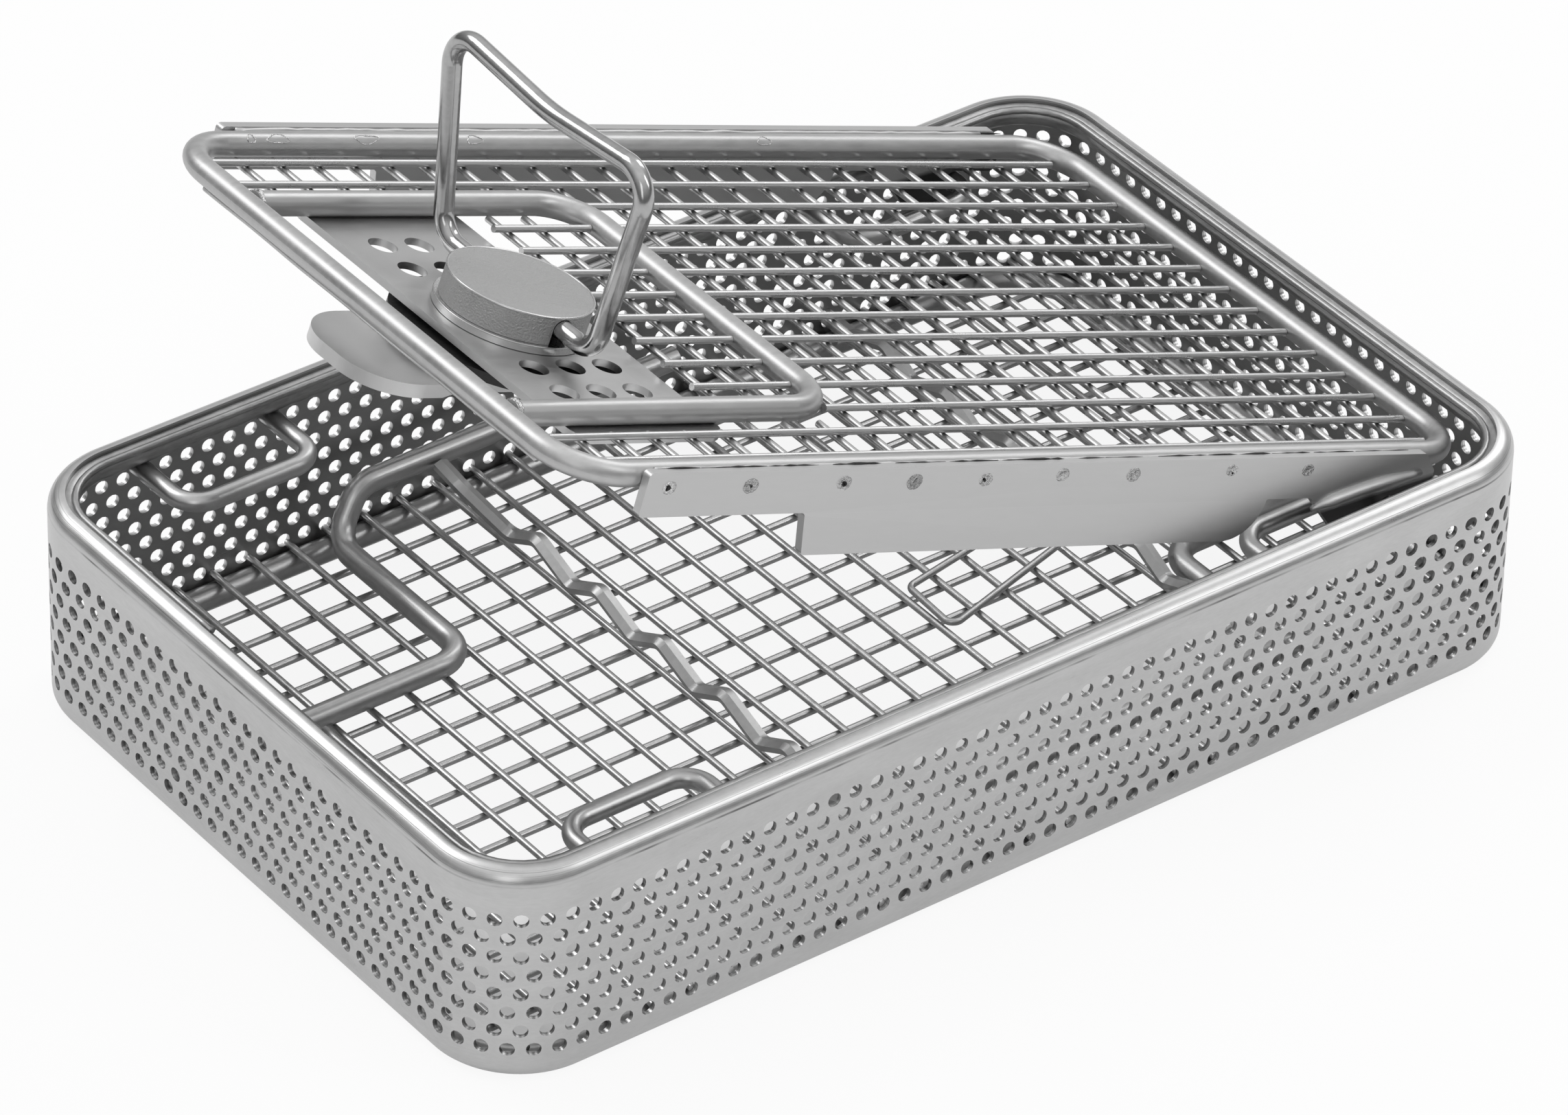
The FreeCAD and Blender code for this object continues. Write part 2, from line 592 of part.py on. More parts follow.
def trayFloor():
    radius = "(sizes.corner_radius - sizes.sheet_thickness - sizes.weld_gap)"
    wires = []
    count = int(valueOf(f"({halfLength} - sizes.sheet_thickness - sizes.mesh_wire) / sizes.mesh_pitch"))
    centreX = f"({halfLength} - sizes.corner_radius)"
    centreY = f"({halfWidth} - sizes.corner_radius)"
    for index in range(-count, count + 1):
        reach = roundedEnd(wallInside, centreY, radius, f"{abs(index)} * sizes.mesh_pitch", centreX)
        wires.append(("Y", f"-({reach})", reach, f"{index} * sizes.mesh_pitch", topWireLevel))
    wireGrid("floor_cross_wires", wires, inTray)
    wires = []
    rodInside = f"({halfLength} - {curlRadius} - sizes.rim_rod / 2 - sizes.weld_gap)"
    radius = f"(sizes.corner_radius - {curlRadius} - sizes.rim_rod / 2 - sizes.weld_gap)"
    limit = valueOf(f"{halfWidth} - {curlRadius} - sizes.rim_rod / 2 - sizes.mesh_wire")
    count = int((limit / size("mesh_pitch")) + 0.5)
    for index in range(count):
        offset = f"{index + 0.5} * sizes.mesh_pitch"
        reach = roundedEnd(rodInside, centreX, radius, offset, centreY)
        for sign in ("", "-1 * "):
            wires.append(("X", f"-({reach})", reach, f"{sign}{offset}", lowWireLevel))
    wireGrid("floor_long_wires", wires, inTray)


# Lid
def lidRods():
    frame = rodBody("lid_frame_rod", rectangleRoute(lidRight, lidLeft, lidSide, "sizes.lid_bend"),
                    "sizes.lid_rod", "sizes.lid_rise", True)
    inLid(frame)
    armEnd = f"({lidLeft} + sizes.lid_rod / 2 + 2 * sizes.weld_gap)"
    yoke = rodBody("lid_inner_rod", [
        (armEnd, "-sizes.yoke_half", None),
        (yokeEnd, "-sizes.yoke_half", "sizes.yoke_bend"),
        (yokeEnd, "sizes.yoke_half", "sizes.yoke_bend"),
        (armEnd, "sizes.yoke_half", None),
    ], "sizes.lid_rod", yokeZ)
    inLid(yoke)


def lidWires():
    """Long wires over cross wires, all cut where they meet the inner rod or the latch plate."""
    inside = "(sizes.lid_rod / 2 + sizes.weld_gap)"
    bendInside = f"(sizes.lid_bend - {inside})"
    yokeInside = f"(sizes.yoke_bend - {inside})"
    yokeOutside = f"(sizes.yoke_bend + {inside})"
    centreY = f"({lidSide} - sizes.lid_bend)"
    yokeY = "(sizes.yoke_half - sizes.yoke_bend)"
    yokeX = f"({yokeEnd} - sizes.yoke_bend)"
    wires = []
    count = int(valueOf(f"({lidSide} - sizes.lid_rod / 2 - sizes.mesh_wire) / sizes.lid_pitch") + 0.5)
    for index in range(count):
        offset = f"{index + 0.5} * sizes.lid_pitch"
        right = roundedEnd(f"({lidRight} - {inside})", f"({lidRight} - sizes.lid_bend)", bendInside, offset, centreY)
        end = roundedEnd(f"(-({lidLeft}) - {inside})", f"(-({lidLeft}) - sizes.lid_bend)", bendInside, offset, centreY)
        left = f"(-1 * {end})"
        nearYoke = valueOf(offset) < valueOf("sizes.yoke_half + sizes.lid_rod / 2 + sizes.mesh_wire")
        if nearYoke:
            left = roundedEnd(f"({yokeEnd} + {inside})", yokeX, yokeOutside,
                              f"{offset} - sizes.mesh_wire", yokeY)
        inYoke = valueOf(offset) < valueOf(f"sizes.yoke_half - {inside} - sizes.mesh_wire")
        for sign in ("", "-1 * "):
            wires.append(("X", left, right, f"{sign}{offset}", longWireZ))
            if inYoke:
                close = roundedEnd(f"({yokeEnd} - {inside})", yokeX, yokeInside, offset, yokeY)
                wires.append(("X", f"({plateEdge} + sizes.mesh_wire)", close, f"{sign}{offset}", longWireZ))
    wireGrid("lid_long_wires", wires, inLid)
    wires = []
    total = valueOf(f"{lidRight} - ({lidLeft})")
    count = int((total - size("lid_rod")) / size("mesh_pitch"))
    besidePlate = "(sizes.latch_plate_half + sizes.play)"
    besideYoke = f"(sizes.yoke_half + {inside})"
    for index in range(1, count + 1):
        across = f"({lidRight} - {index} * sizes.mesh_pitch)"
        fromEnd = f"{index} * sizes.mesh_pitch"
        if valueOf(fromEnd) > total / 2:
            fromEnd = f"({lidRight} - ({lidLeft}) - {index} * sizes.mesh_pitch)"
        reach = f"({lidSide} - sizes.lid_rod / 2 + sizes.weld_gap)"
        if valueOf(f"sizes.lid_bend - {fromEnd} + sizes.mesh_wire / 2") > 0:
            bow = f"sqrt({bendInside}^2 - (sizes.lid_bend - {fromEnd} + sizes.mesh_wire / 2)^2)"
            reach = f"({centreY} + {bow})"
        if valueOf(f"{across} - ({yokeEnd} + sizes.lid_rod / 2)") > 0:
            wires.append(("Y", f"-({reach})", reach, across, crossWireZ))
            continue
        inner = besidePlate
        if valueOf(f"{across} - {plateEdge}") > size("mesh_wire"):
            inner = besideYoke
            if valueOf(f"{yokeEnd} - {inside} - ({across}) - sizes.mesh_wire / 2") > 0:
                span = roundedEnd(f"(sizes.yoke_half - {inside})", yokeY, yokeInside, across, yokeX)
                wires.append(("Y", f"-({span})", span, across, crossWireZ))
        wires.append(("Y", inner, reach, across, crossWireZ))
        wires.append(("Y", f"-({reach})", f"-({inner})", across, crossWireZ))
    wireGrid("lid_cross_wires", wires, inLid)


def hingePlate(label, sign):
    """Side plate with the notch for the hinge loop's inner leg and the hook under its outer leg."""
    body = newBody(label)
    inner = f"({lidSide} + sizes.lid_rod / 2 + sizes.weld_gap)"
    offset = f"-1 * {inner}" if sign > 0 else inner
    outline = newSketch(body, label + "_outline", "XZ_Plane", offset)
    seat = "(sizes.loop_rod / 2 + sizes.play)"
    left = f"({lidLeft} + sizes.plate_end)"
    latchLeg = "(sizes.hinge_loop_inset + sizes.latch_loop_inset + sizes.loop_span - sizes.tray_length)"
    step = f"({latchLeg} + sizes.plate_step)"
    deep = "(sizes.lid_rise - sizes.plate_deep)"
    notch = "(-(sizes.loop_span) - sizes.notch_edge)"
    under = "-(sizes.hook_depth)"
    top = "(sizes.lid_rise + sizes.plate_rise)"
    edge = "sizes.plate_round"
    loop = "sizes.loop_rod / 2"
    drawRoute(outline, [
        (left, top, edge),
        (f"({left} + sizes.plate_slant)", seat, edge),
        (step, seat, edge),
        (f"({step} + sizes.step_slant)", deep, edge),
        (notch, deep, "sizes.notch_curve"),
        (notch, seat, "sizes.notch_corner"),
        ("-(sizes.hook_edge)", seat, "sizes.hook_nose"),
        ("(sizes.hook_slope - sizes.hook_edge)", under, "sizes.hook_bend"),
        ("sizes.hook_tip", under, "sizes.hook_nose"),
        ("sizes.hook_tip", f"-({seat})", edge),
        (f"-({seat})", f"-({seat})", loop),
        (f"-({seat})", seat, loop),
        ("sizes.hook_back", seat, edge),
        ("sizes.hook_back", f"({top} - sizes.hook_chamfer)", edge),
        ("(sizes.hook_back - sizes.hook_chamfer)", top, edge),
    ], True)
    pad = body.newObject("PartDesign::Pad", label + "_sheet")
    pad.Profile = outline
    pad.setExpression("Length", "sizes.plate_sheet")
    pad.Reversed = sign > 0
    body.Tip = pad
    inLid(body)


def latchPlate():
    """Pressed plate with a round seat for the washer and two rows of holes on each side."""
    body = newBody("latch_plate")
    left = f"({lidLeft} + sizes.latch_plate_inset)"
    half = "sizes.latch_plate_half"
    corner = "sizes.latch_plate_corner"
    flat = newSketch(body, "plate_outline", "XY_Plane", latchPlateUnder)
    drawRoute(flat, [
        (plateEdge, half, corner),
        (left, half, corner),
        (left, f"-{half}", corner),
        (plateEdge, f"-{half}", corner),
    ], True)
    sheet = body.newObject("PartDesign::Pad", "plate_sheet")
    sheet.Profile = flat
    sheet.setExpression("Length", "sizes.latch_sheet")
    seat = newSketch(body, "seat_boss", "XY_Plane", recessUnder)
    drawCircle(seat, knobX, "0", "2 * sizes.recess_radius")
    boss = body.newObject("PartDesign::Pad", "seat_boss_pad")
    boss.Profile = seat
    boss.setExpression("Length", "sizes.recess_depth + sizes.latch_sheet / 2")
    hollow = newSketch(body, "seat_hollow", "XY_Plane", latchPlateTop)
    drawCircle(hollow, knobX, "0", "2 * (sizes.recess_radius - sizes.latch_sheet)")
    press = body.newObject("PartDesign::Pocket", "seat_pocket")
    press.Profile = hollow
    press.Type = "Length"
    press.setExpression("Length", "sizes.recess_depth")
    holes = newSketch(body, "plate_holes", "XY_Plane", latchPlateTop)
    drawCircle(holes, knobX, "0", "(sizes.pin_diameter + 2 * sizes.pin_play)")
    for column in (-1, 0, 1):
        for row in (0, 1):
            for sign in ("", "-1 * "):
                x = f"({knobX} + {column} * sizes.plate_hole_pitch)"
                y = f"{sign}(sizes.plate_hole_first + {row} * sizes.plate_hole_row)"
                drawCircle(holes, x, y, "sizes.plate_hole")
    punch = body.newObject("PartDesign::Pocket", "plate_punch")
    punch.Profile = holes
    punch.Type = "ThroughAll"
    body.Tip = punch
    inLid(body)


# Latch
def discBody(label, diameter, under, height, bore=None):
    body = newBody(label)
    outline = newSketch(body, label + "_outline", "XY_Plane", under)
    drawCircle(outline, knobX, "0", diameter)
    if bore:
        drawCircle(outline, knobX, "0", bore)
    pad = body.newObject("PartDesign::Pad", label + "_disc")
    pad.Profile = outline
    pad.setExpression("Length", height)
    body.Tip = pad
    inLid(body)
    return body, pad


def latchKnob():
    top = "(sizes.lid_rise + sizes.knob_top)"
    body, pad = discBody("latch_knob", "sizes.knob_diameter", knobUnder, f"{top} - {knobUnder}")
    bore = newSketch(body, "knob_bore", "XY_Plane", knobUnder)
    drawCircle(bore, knobX, "0", "(sizes.pin_diameter + sizes.weld_gap)")
    drill = body.newObject("PartDesign::Pocket", "knob_drill")
    drill.Profile = bore
    drill.Type = "Length"
    drill.setExpression("Length", "sizes.knob_bore_depth")
    drill.Reversed = True
    half = "(sizes.bail_rod / 2 + sizes.pin_play)"
    seat = "(sizes.bail_seat - sizes.play)"
    for side, sign in (("front", 1), ("back", -1)):
        slot = newSketch(body, f"knob_slot_{side}", "XZ_Plane", f"{sign} * {seat}")
        low = f"({knobUnder} - sizes.play)"
        top = f"({bailZ} + {half})"
        arch = "(sizes.bail_rod / 2 - sizes.pin_play)"
        drawRoute(slot, [
            (f"({knobX} - {half})", low, None),
            (f"({knobX} + {half})", low, None),
            (f"({knobX} + {half})", top, arch),
            (f"({knobX} - {half})", top, arch),
        ], True)
        cut = body.newObject("PartDesign::Pocket", f"knob_cut_{side}")
        cut.Profile = slot
        cut.Type = "ThroughAll"
        cut.Reversed = sign > 0
        body.Tip = cut


def latchPivot():
    """Pin with a round head under the tongue; its shank ends in the knob."""
    headTop = f"({tongueUnder} - sizes.weld_gap)"
    body, head = discBody("latch_pivot", "sizes.pin_head", f"({headTop} - sizes.pin_head_height)",
                          "sizes.pin_head_height")
    stem = newSketch(body, "pin_outline", "XY_Plane", headTop)
    drawCircle(stem, knobX, "0", "sizes.pin_diameter")
    shank = body.newObject("PartDesign::Pad", "pin_shank")
    shank.Profile = stem
    shank.setExpression("Length", f"{knobUnder} + sizes.knob_bore_depth - sizes.play - {headTop}")
    body.Tip = shank


def uprightEdges(feature, x):
    """Names of a feature's upright edges that stand at x."""
    near = size("weld_gap") / 2
    names = []
    for index, edge in enumerate(feature.Shape.Edges, start=1):
        box = edge.BoundBox
        upright = box.XLength < near and box.YLength < near
        if upright and abs(box.Center.x - x) < near:
            names.append(f"Edge{index}")
    return names


def latchTongue():
    """Flat bar, stepped down before its rounded tip, that tucks under the rim's rod."""
    body = newBody("latch_tongue")
    back = f"({knobX} + sizes.tongue_width / 2)"
    tip = f"(-1 * {pivotX} - {halfLength} + {curlRadius} + sizes.rim_rod / 2 + sizes.play)"
    stepX = f"({lidLeft} + sizes.tongue_step)"
    slope = "sizes.tongue_slope"
    edge = "sizes.tongue_round"
    profile = newSketch(body, "tongue_profile", "XZ_Plane")
    drawRoute(profile, [
        (back, tongueTop, None),
        (f"({stepX} + {slope})", tongueTop, edge),
        (f"({stepX} - {slope})", f"({tongueTop} - sizes.tongue_joggle)", edge),
        (tip, f"({tongueTop} - sizes.tongue_joggle)", None),
        (tip, f"({tongueUnder} - sizes.tongue_joggle)", None),
        (f"({stepX} - {slope})", f"({tongueUnder} - sizes.tongue_joggle)", edge),
        (f"({stepX} + {slope})", tongueUnder, edge),
        (back, tongueUnder, None),
    ], True)
    bar = body.newObject("PartDesign::Pad", "tongue_bar")
    bar.Profile = profile
    bar.setExpression("Length", "sizes.tongue_width")
    bar.Midplane = True
    bore = newSketch(body, "tongue_bore", "XY_Plane", tongueTop)
    drawCircle(bore, knobX, "0", "(sizes.pin_diameter + sizes.weld_gap)")
    drill = body.newObject("PartDesign::Pocket", "tongue_drill")
    drill.Profile = bore
    drill.Type = "ThroughAll"
    body.Tip = drill
    doc.recompute()
    tipRound = body.newObject("PartDesign::Fillet", "tongue_tip")
    tipRound.Base = (drill, uprightEdges(drill, valueOf(tip)))
    tipRound.setExpression("Radius", "sizes.tongue_corner")
    body.Tip = tipRound
    doc.recompute()
    backRound = body.newObject("PartDesign::Fillet", "tongue_back")
    backRound.Base = (tipRound, uprightEdges(tipRound, valueOf(back)))
    backRound.setExpression("Radius", "sizes.tongue_width / 2 - sizes.weld_gap")
    body.Tip = backRound
    inLid(body)


def bailHandle():
    """Bail of round rod whose ends turn in the knob's slots."""
    bail = rodBody("bail_handle", [
        ("-sizes.bail_seat", "0", None),
        ("-sizes.bail_foot", "0", "sizes.bail_bend"),
        ("-sizes.bail_half", "sizes.bail_height", "sizes.bail_bend"),
        ("0", "(sizes.bail_height - sizes.bail_dip)", "sizes.dip_bend"),
        ("sizes.bail_half", "sizes.bail_height", "sizes.bail_bend"),
        ("sizes.bail_foot", "0", "sizes.bail_bend"),
        ("sizes.bail_seat", "0", None),
    ], "sizes.bail_rod", plane="YZ_Plane")
    onLid(bail, knobX, bailZ, "sizes.lid_open - sizes.bail_lean")


def wireClip():
    """Thin bent wire, welded across the floor's mesh with its closed end towards the latch."""
    radius = size("clip_wire") / 2
    level = valueOf(floorTop) + radius + size("weld_gap")
    ends = ("front", "corner", "turn", "back")
    points = [Vector(size(f"clip_{end}_x"), size(f"clip_{end}_y"), level) for end in ends]
    bentRod("wire_clip", points, size("clip_bend"), roundSection(radius))


trayWall()
trayRods()
restRod("rest_rod_left", size("rest_offset_left"), -1)
restRod("rest_rod_right", size("rest_offset_right"), 1)
waveRail("wave_rail_left", size("rail_offset_left"), -1)
waveRail("wave_rail_right", size("rail_offset_right"), 1)
wireClip()
trayFloor()
lidRods()
lidWires()
hingePlate("hinge_plate_front", -1)
hingePlate("hinge_plate_back", 1)
latchPlate()
latchKnob()
inner = "(sizes.pin_diameter + sizes.weld_gap)"
discBody("knob_washer", "sizes.washer_diameter", washerUnder, "sizes.washer_thickness", inner)
discBody("slide_disc", "sizes.disc_diameter", discUnder, "sizes.disc_thickness", inner)
latchPivot()
latchTongue()
bailHandle()
doc.recompute()

# Nothing is written unless every piece of the model is sound
faults = [item.Name for item in doc.Objects if "Invalid" in item.State or "Error" in item.State]
faults += [item.Label for item in subParts if not item.Shape.isValid() or not item.Shape.Solids]
if faults:
    raise RuntimeError("these pieces failed: " + ", ".join(faults))
for item in subParts:
    item.Shape.exportStep(f"parts/{item.Label}.step")
    print(item.Label, len(item.Shape.Solids), "solids")
print(len(subParts), "pieces written")
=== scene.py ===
import bpy
import bmesh
import json
import math
import random
from mathutils import Matrix, Vector


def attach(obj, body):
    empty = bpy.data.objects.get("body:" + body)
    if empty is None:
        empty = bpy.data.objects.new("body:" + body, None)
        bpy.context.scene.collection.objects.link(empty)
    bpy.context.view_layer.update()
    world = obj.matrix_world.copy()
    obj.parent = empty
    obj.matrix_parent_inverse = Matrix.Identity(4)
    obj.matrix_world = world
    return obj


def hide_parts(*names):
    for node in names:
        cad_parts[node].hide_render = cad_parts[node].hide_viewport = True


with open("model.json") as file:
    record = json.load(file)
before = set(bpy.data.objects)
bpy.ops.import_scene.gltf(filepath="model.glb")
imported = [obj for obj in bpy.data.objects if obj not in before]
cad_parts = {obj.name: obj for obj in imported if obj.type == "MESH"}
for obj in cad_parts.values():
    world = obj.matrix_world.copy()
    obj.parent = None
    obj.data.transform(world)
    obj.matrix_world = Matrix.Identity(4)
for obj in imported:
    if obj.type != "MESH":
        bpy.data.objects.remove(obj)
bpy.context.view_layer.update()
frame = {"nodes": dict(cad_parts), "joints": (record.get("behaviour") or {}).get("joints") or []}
nodes = frame["nodes"]
scene = bpy.context.scene
mm = 0.001
print("frame loaded:", len(nodes), "pieces")

# Values that several pieces and materials share, in millimetres
tray = {
    "length": 255, "width": 164, "height": 48.8, "corner": 20, "sheet": 1.0,
    "curl": 3.55, "meshPitch": 9.0, "lidPitch": 9.2,
}
wall = {
    "holeRadius": 1.5, "columns": 160, "rows": 8, "rowPitch": 4.33, "topRow": 38.0,
    "firstHole": 18.08, "sideSteps": 4, "curlSteps": 7, "land": 0.02, "crease": 45.8,
    "sharpFrom": 40,
}
lip = {
    "from": (-20.6, -0.1), "to": (6.0, 7.2), "radius": 1.6, "out": 70.7, "bow": 0.7,
    "steps": 12, "sides": 16, "startRadius": 0.35, "grow": 6, "taperFrom": 0.7, "taper": 1.4,
}

# The lid's hinge, and the frame of the lid as it would lie shut
joints = {joint["name"]: joint for joint in frame["joints"]}
hingePoint = Vector(joints["lid_hinge"]["pos_m"])
lidNormal = Vector(joints["latch_turn"]["axis"]).normalized()
lidAngle = math.atan2(lidNormal.x, lidNormal.z)
lidFrame = Matrix.Translation(hingePoint) @ Matrix.Rotation(lidAngle, 4, "Y")


# A material with its Principled shader ready; returns material, node tree and shader
def newMaterial(name, roughness, metallic=1.0):
    material = bpy.data.materials.new(name)
    material.use_nodes = True
    tree = material.node_tree
    shader = tree.nodes["Principled BSDF"]
    shader.inputs["Roughness"].default_value = roughness
    shader.inputs["Metallic"].default_value = metallic
    return material, tree, shader


# Plain numbers are set on a socket, other sockets are linked to it
def feed(tree, socket, value):
    if isinstance(value, (int, float)):
        socket.default_value = value
    else:
        tree.links.new(value, socket)


def calculate(tree, operation, *values):
    node = tree.nodes.new("ShaderNodeMath")
    node.operation = operation
    for index, value in enumerate(values):
        feed(tree, node.inputs[index], value)
    return node.outputs[0]


def add(tree, first, second):
    return calculate(tree, "ADD", first, second)


def minus(tree, first, second):
    return calculate(tree, "SUBTRACT", first, second)


def times(tree, first, second):
    return calculate(tree, "MULTIPLY", first, second)


def larger(tree, first, second):
    return calculate(tree, "MAXIMUM", first, second)


def noiseOf(tree, vector, scale, detail=4.0, roughness=0.6):
    node = tree.nodes.new("ShaderNodeTexNoise")
    feed(tree, node.inputs["Scale"], scale)
    node.inputs["Detail"].default_value = detail
    node.inputs["Roughness"].default_value = roughness
    tree.links.new(vector, node.inputs["Vector"])
    return node.outputs["Fac"]


def spread(tree, value, fromLow, fromHigh, toLow, toHigh):
    node = tree.nodes.new("ShaderNodeMapRange")
    tree.links.new(value, node.inputs["Value"])
    ends = {"From Min": fromLow, "From Max": fromHigh, "To Min": toLow, "To Max": toHigh}
    for name, number in ends.items():
        node.inputs[name].default_value = number
    return node.outputs["Result"]


def grey(level):
    return (level, level, level, 1)


# Mix of two colours; each may be a grey level or a socket
def mixColours(tree, factor, first, second):
    node = tree.nodes.new("ShaderNodeMix")
    node.data_type = "RGBA"
    tree.links.new(factor, node.inputs["Factor"])
    for name, value in (("A", first), ("B", second)):
        if isinstance(value, (int, float)):
            node.inputs[name].default_value = grey(value)
        else:
            tree.links.new(value, node.inputs[name])
    return node.outputs["Result"]


def splitPlace(tree, place):
    split = tree.nodes.new("ShaderNodeSeparateXYZ")
    tree.links.new(place, split.inputs[0])
    return split.outputs


# Shared steel surface: grey, roughness and a height, from the place on the piece
surface = {
    "cloudScale": 60, "cloudShare": 0.6, "grainShare": 0.4, "detail": 3, "fineness": 0.5,
    "levelFrom": 0.3, "levelTo": 0.7, "edgeFrom": 0.5, "edgeTo": 0.62, "edgeWear": 0.9,
}


def makeSteelGroup():
    group = bpy.data.node_groups.new("steelSurface", "ShaderNodeTree")
    face = group.interface
    face.new_socket("Place", in_out="INPUT", socket_type="NodeSocketVector")
    for name in ("Dark", "Light", "Smooth", "Rough", "Grain"):
        face.new_socket(name, in_out="INPUT", socket_type="NodeSocketFloat")
    face.new_socket("Color", in_out="OUTPUT", socket_type="NodeSocketColor")
    face.new_socket("Roughness", in_out="OUTPUT", socket_type="NodeSocketFloat")
    face.new_socket("Height", in_out="OUTPUT", socket_type="NodeSocketFloat")
    given = group.nodes.new("NodeGroupInput").outputs
    leave = group.nodes.new("NodeGroupOutput")
    detail, fineness = surface["detail"], surface["fineness"]
    cloud = noiseOf(group, given["Place"], surface["cloudScale"], detail, fineness)
    grain = noiseOf(group, given["Place"], given["Grain"], detail, fineness)
    mixed = add(group, times(group, cloud, surface["cloudShare"]),
                times(group, grain, surface["grainShare"]))
    level = spread(group, mixed, surface["levelFrom"], surface["levelTo"], 0, 1)
    geometry = group.nodes.new("ShaderNodeNewGeometry")
    edge = spread(group, geometry.outputs["Pointiness"],
                  surface["edgeFrom"], surface["edgeTo"], 0, 1)
    worn = larger(group, level, times(group, edge, surface["edgeWear"]))
    lightness = add(group, given["Dark"],
                    times(group, worn, minus(group, given["Light"], given["Dark"])))
    colour = group.nodes.new("ShaderNodeCombineColor")
    for name in ("Red", "Green", "Blue"):
        group.links.new(lightness, colour.inputs[name])
    rough = add(group, given["Smooth"],
                times(group, level, minus(group, given["Rough"], given["Smooth"])))
    group.links.new(colour.outputs["Color"], leave.inputs["Color"])
    group.links.new(rough, leave.inputs["Roughness"])
    group.links.new(grain, leave.inputs["Height"])
    return group


steelGroup = makeSteelGroup()


# Place on the piece in metres, turned into the shut lid's own frame if asked
def placeOn(tree, inLid=False):
    place = tree.nodes.new("ShaderNodeTexCoord").outputs["Object"]
    if not inLid:
        return place
    turned = tree.nodes.new("ShaderNodeVectorRotate")
    turned.rotation_type = "Y_AXIS"
    turned.inputs["Center"].default_value = hingePoint
    turned.inputs["Angle"].default_value = -lidAngle
    tree.links.new(place, turned.inputs["Vector"])
    return turned.outputs["Vector"]


def stretchedPlace(tree, place, stretch):
    scaled = tree.nodes.new("ShaderNodeMapping")
    scaled.inputs["Scale"].default_value = stretch
    tree.links.new(place, scaled.inputs["Vector"])
    return scaled.outputs["Vector"]


# Steel with cloudy grey, fine grain and worn edges; painted shade and marks may darken it and add
# height
shadeAndMarkTone = {"grey": 0.05, "grainLeft": 0.3}


def steel(name, look):
    material, tree, shader = newMaterial(name, look["rough"])
    links = tree.links
    place = placeOn(tree, look.get("inLid", False))
    node = tree.nodes.new("ShaderNodeGroup")
    node.node_tree = steelGroup
    for socket in ("Dark", "Light", "Smooth", "Rough", "Grain"):
        node.inputs[socket].default_value = look[socket.lower()]
    links.new(stretchedPlace(tree, place, look.get("stretch", (1, 1, 1))), node.inputs["Place"])
    colour = node.outputs["Color"]
    height = node.outputs["Height"]
    if "shadeAndMarks" in look:
        shade, extra = look["shadeAndMarks"](tree, place)
        # painted shade (and streaks or tint) mixed toward a dark grey
        colour = mixColours(tree, shade, colour, shadeAndMarkTone["grey"])
        if extra is not None:
            height = add(tree, times(tree, height, shadeAndMarkTone["grainLeft"]), extra)
    links.new(colour, shader.inputs["Base Color"])
    links.new(node.outputs["Roughness"], shader.inputs["Roughness"])
    relief = tree.nodes.new("ShaderNodeBump")
    relief.inputs["Strength"].default_value = 1.0
    relief.inputs["Distance"].default_value = look["relief"] * mm
    links.new(height, relief.inputs["Height"])
    links.new(relief.outputs["Normal"], shader.inputs["Normal"])
    return material


# Dark spot where one set of wires is welded to the other: painted contact shade at the crossing,
# with heat tint
shadeAndTint = {"noise": 700, "detail": 2, "wobble": 0.6, "inward": 0.3, "core": 0.4, "pitchesOff": 1000}


def crossingShadeAndTint(axis, pitch, centre, radius, strength):
    def shadeAndMarks(tree, place):
        along = splitPlace(tree, place)[axis]
        shifted = add(tree, along, (shadeAndTint["pitchesOff"] * pitch - centre) * mm)
        fold = calculate(tree, "PINGPONG", shifted, pitch * mm / 2)
        wobble = times(tree, noiseOf(tree, place, shadeAndTint["noise"], shadeAndTint["detail"]),
                       shadeAndTint["wobble"] * mm)
        near = minus(tree, add(tree, fold, wobble), shadeAndTint["inward"] * mm)
        spot = spread(tree, near, radius * shadeAndTint["core"] * mm, radius * mm, 1, 0)
        # painted contact shade with heat tint at each crossing
        return times(tree, spot, strength), None
    return shadeAndMarks


# Painted shade on a side plate below the rolled lip at its hinge end
underLipShade = {"start": 0.5, "full": 1.3, "before": 2, "after": 1, "shade": 0.95}


def lipShade(tree, place):
    where = splitPlace(tree, place)
    (x0, z0), (x1, z1) = lip["from"], lip["to"]
    slope = (z1 - z0) / (x1 - x0)
    across = minus(tree, where["X"], hingePoint.x)
    line = calculate(tree, "MULTIPLY_ADD", across, slope, hingePoint.z + (z0 - slope * x0) * mm)
    under = minus(tree, line, where["Z"])
    radius = lip["radius"] * mm
    below = spread(tree, under, radius * underLipShade["start"], radius * underLipShade["full"], 0, 1)
    inside = spread(tree, across, (x0 - underLipShade["before"]) * mm, (x0 + underLipShade["after"]) * mm, 0, 1)
    return times(tree, times(tree, below, inside), underLipShade["shade"]), None


# Painted shade in the crease under the rim and over the inner face, and dark streaks on the rim.
# The profile layer holds the
# height on the wall: over 0 outside, under 0 inside, and rising round the rolled rim.
rimShadeAndStreaks = {
    "unevenScale": 45, "unevenDetail": 3, "unevenFrom": 0.45, "unevenTo": 0.6,
    "creaseCore": 0.1, "creaseEdge": 0.32, "creaseWeak": 0.1, "creaseStrong": 0.75,
    "streakAlong": 14, "streakAround": 2600, "streakFrom": 0.56, "streakTo": 0.72,
    "streakShade": 0.55, "streakDepth": 0.3, "rimFrom": 45.5, "rimTo": 47.0,
    "innerFull": -0.5, "innerShade": 0.42, "depth": -6.0,
}


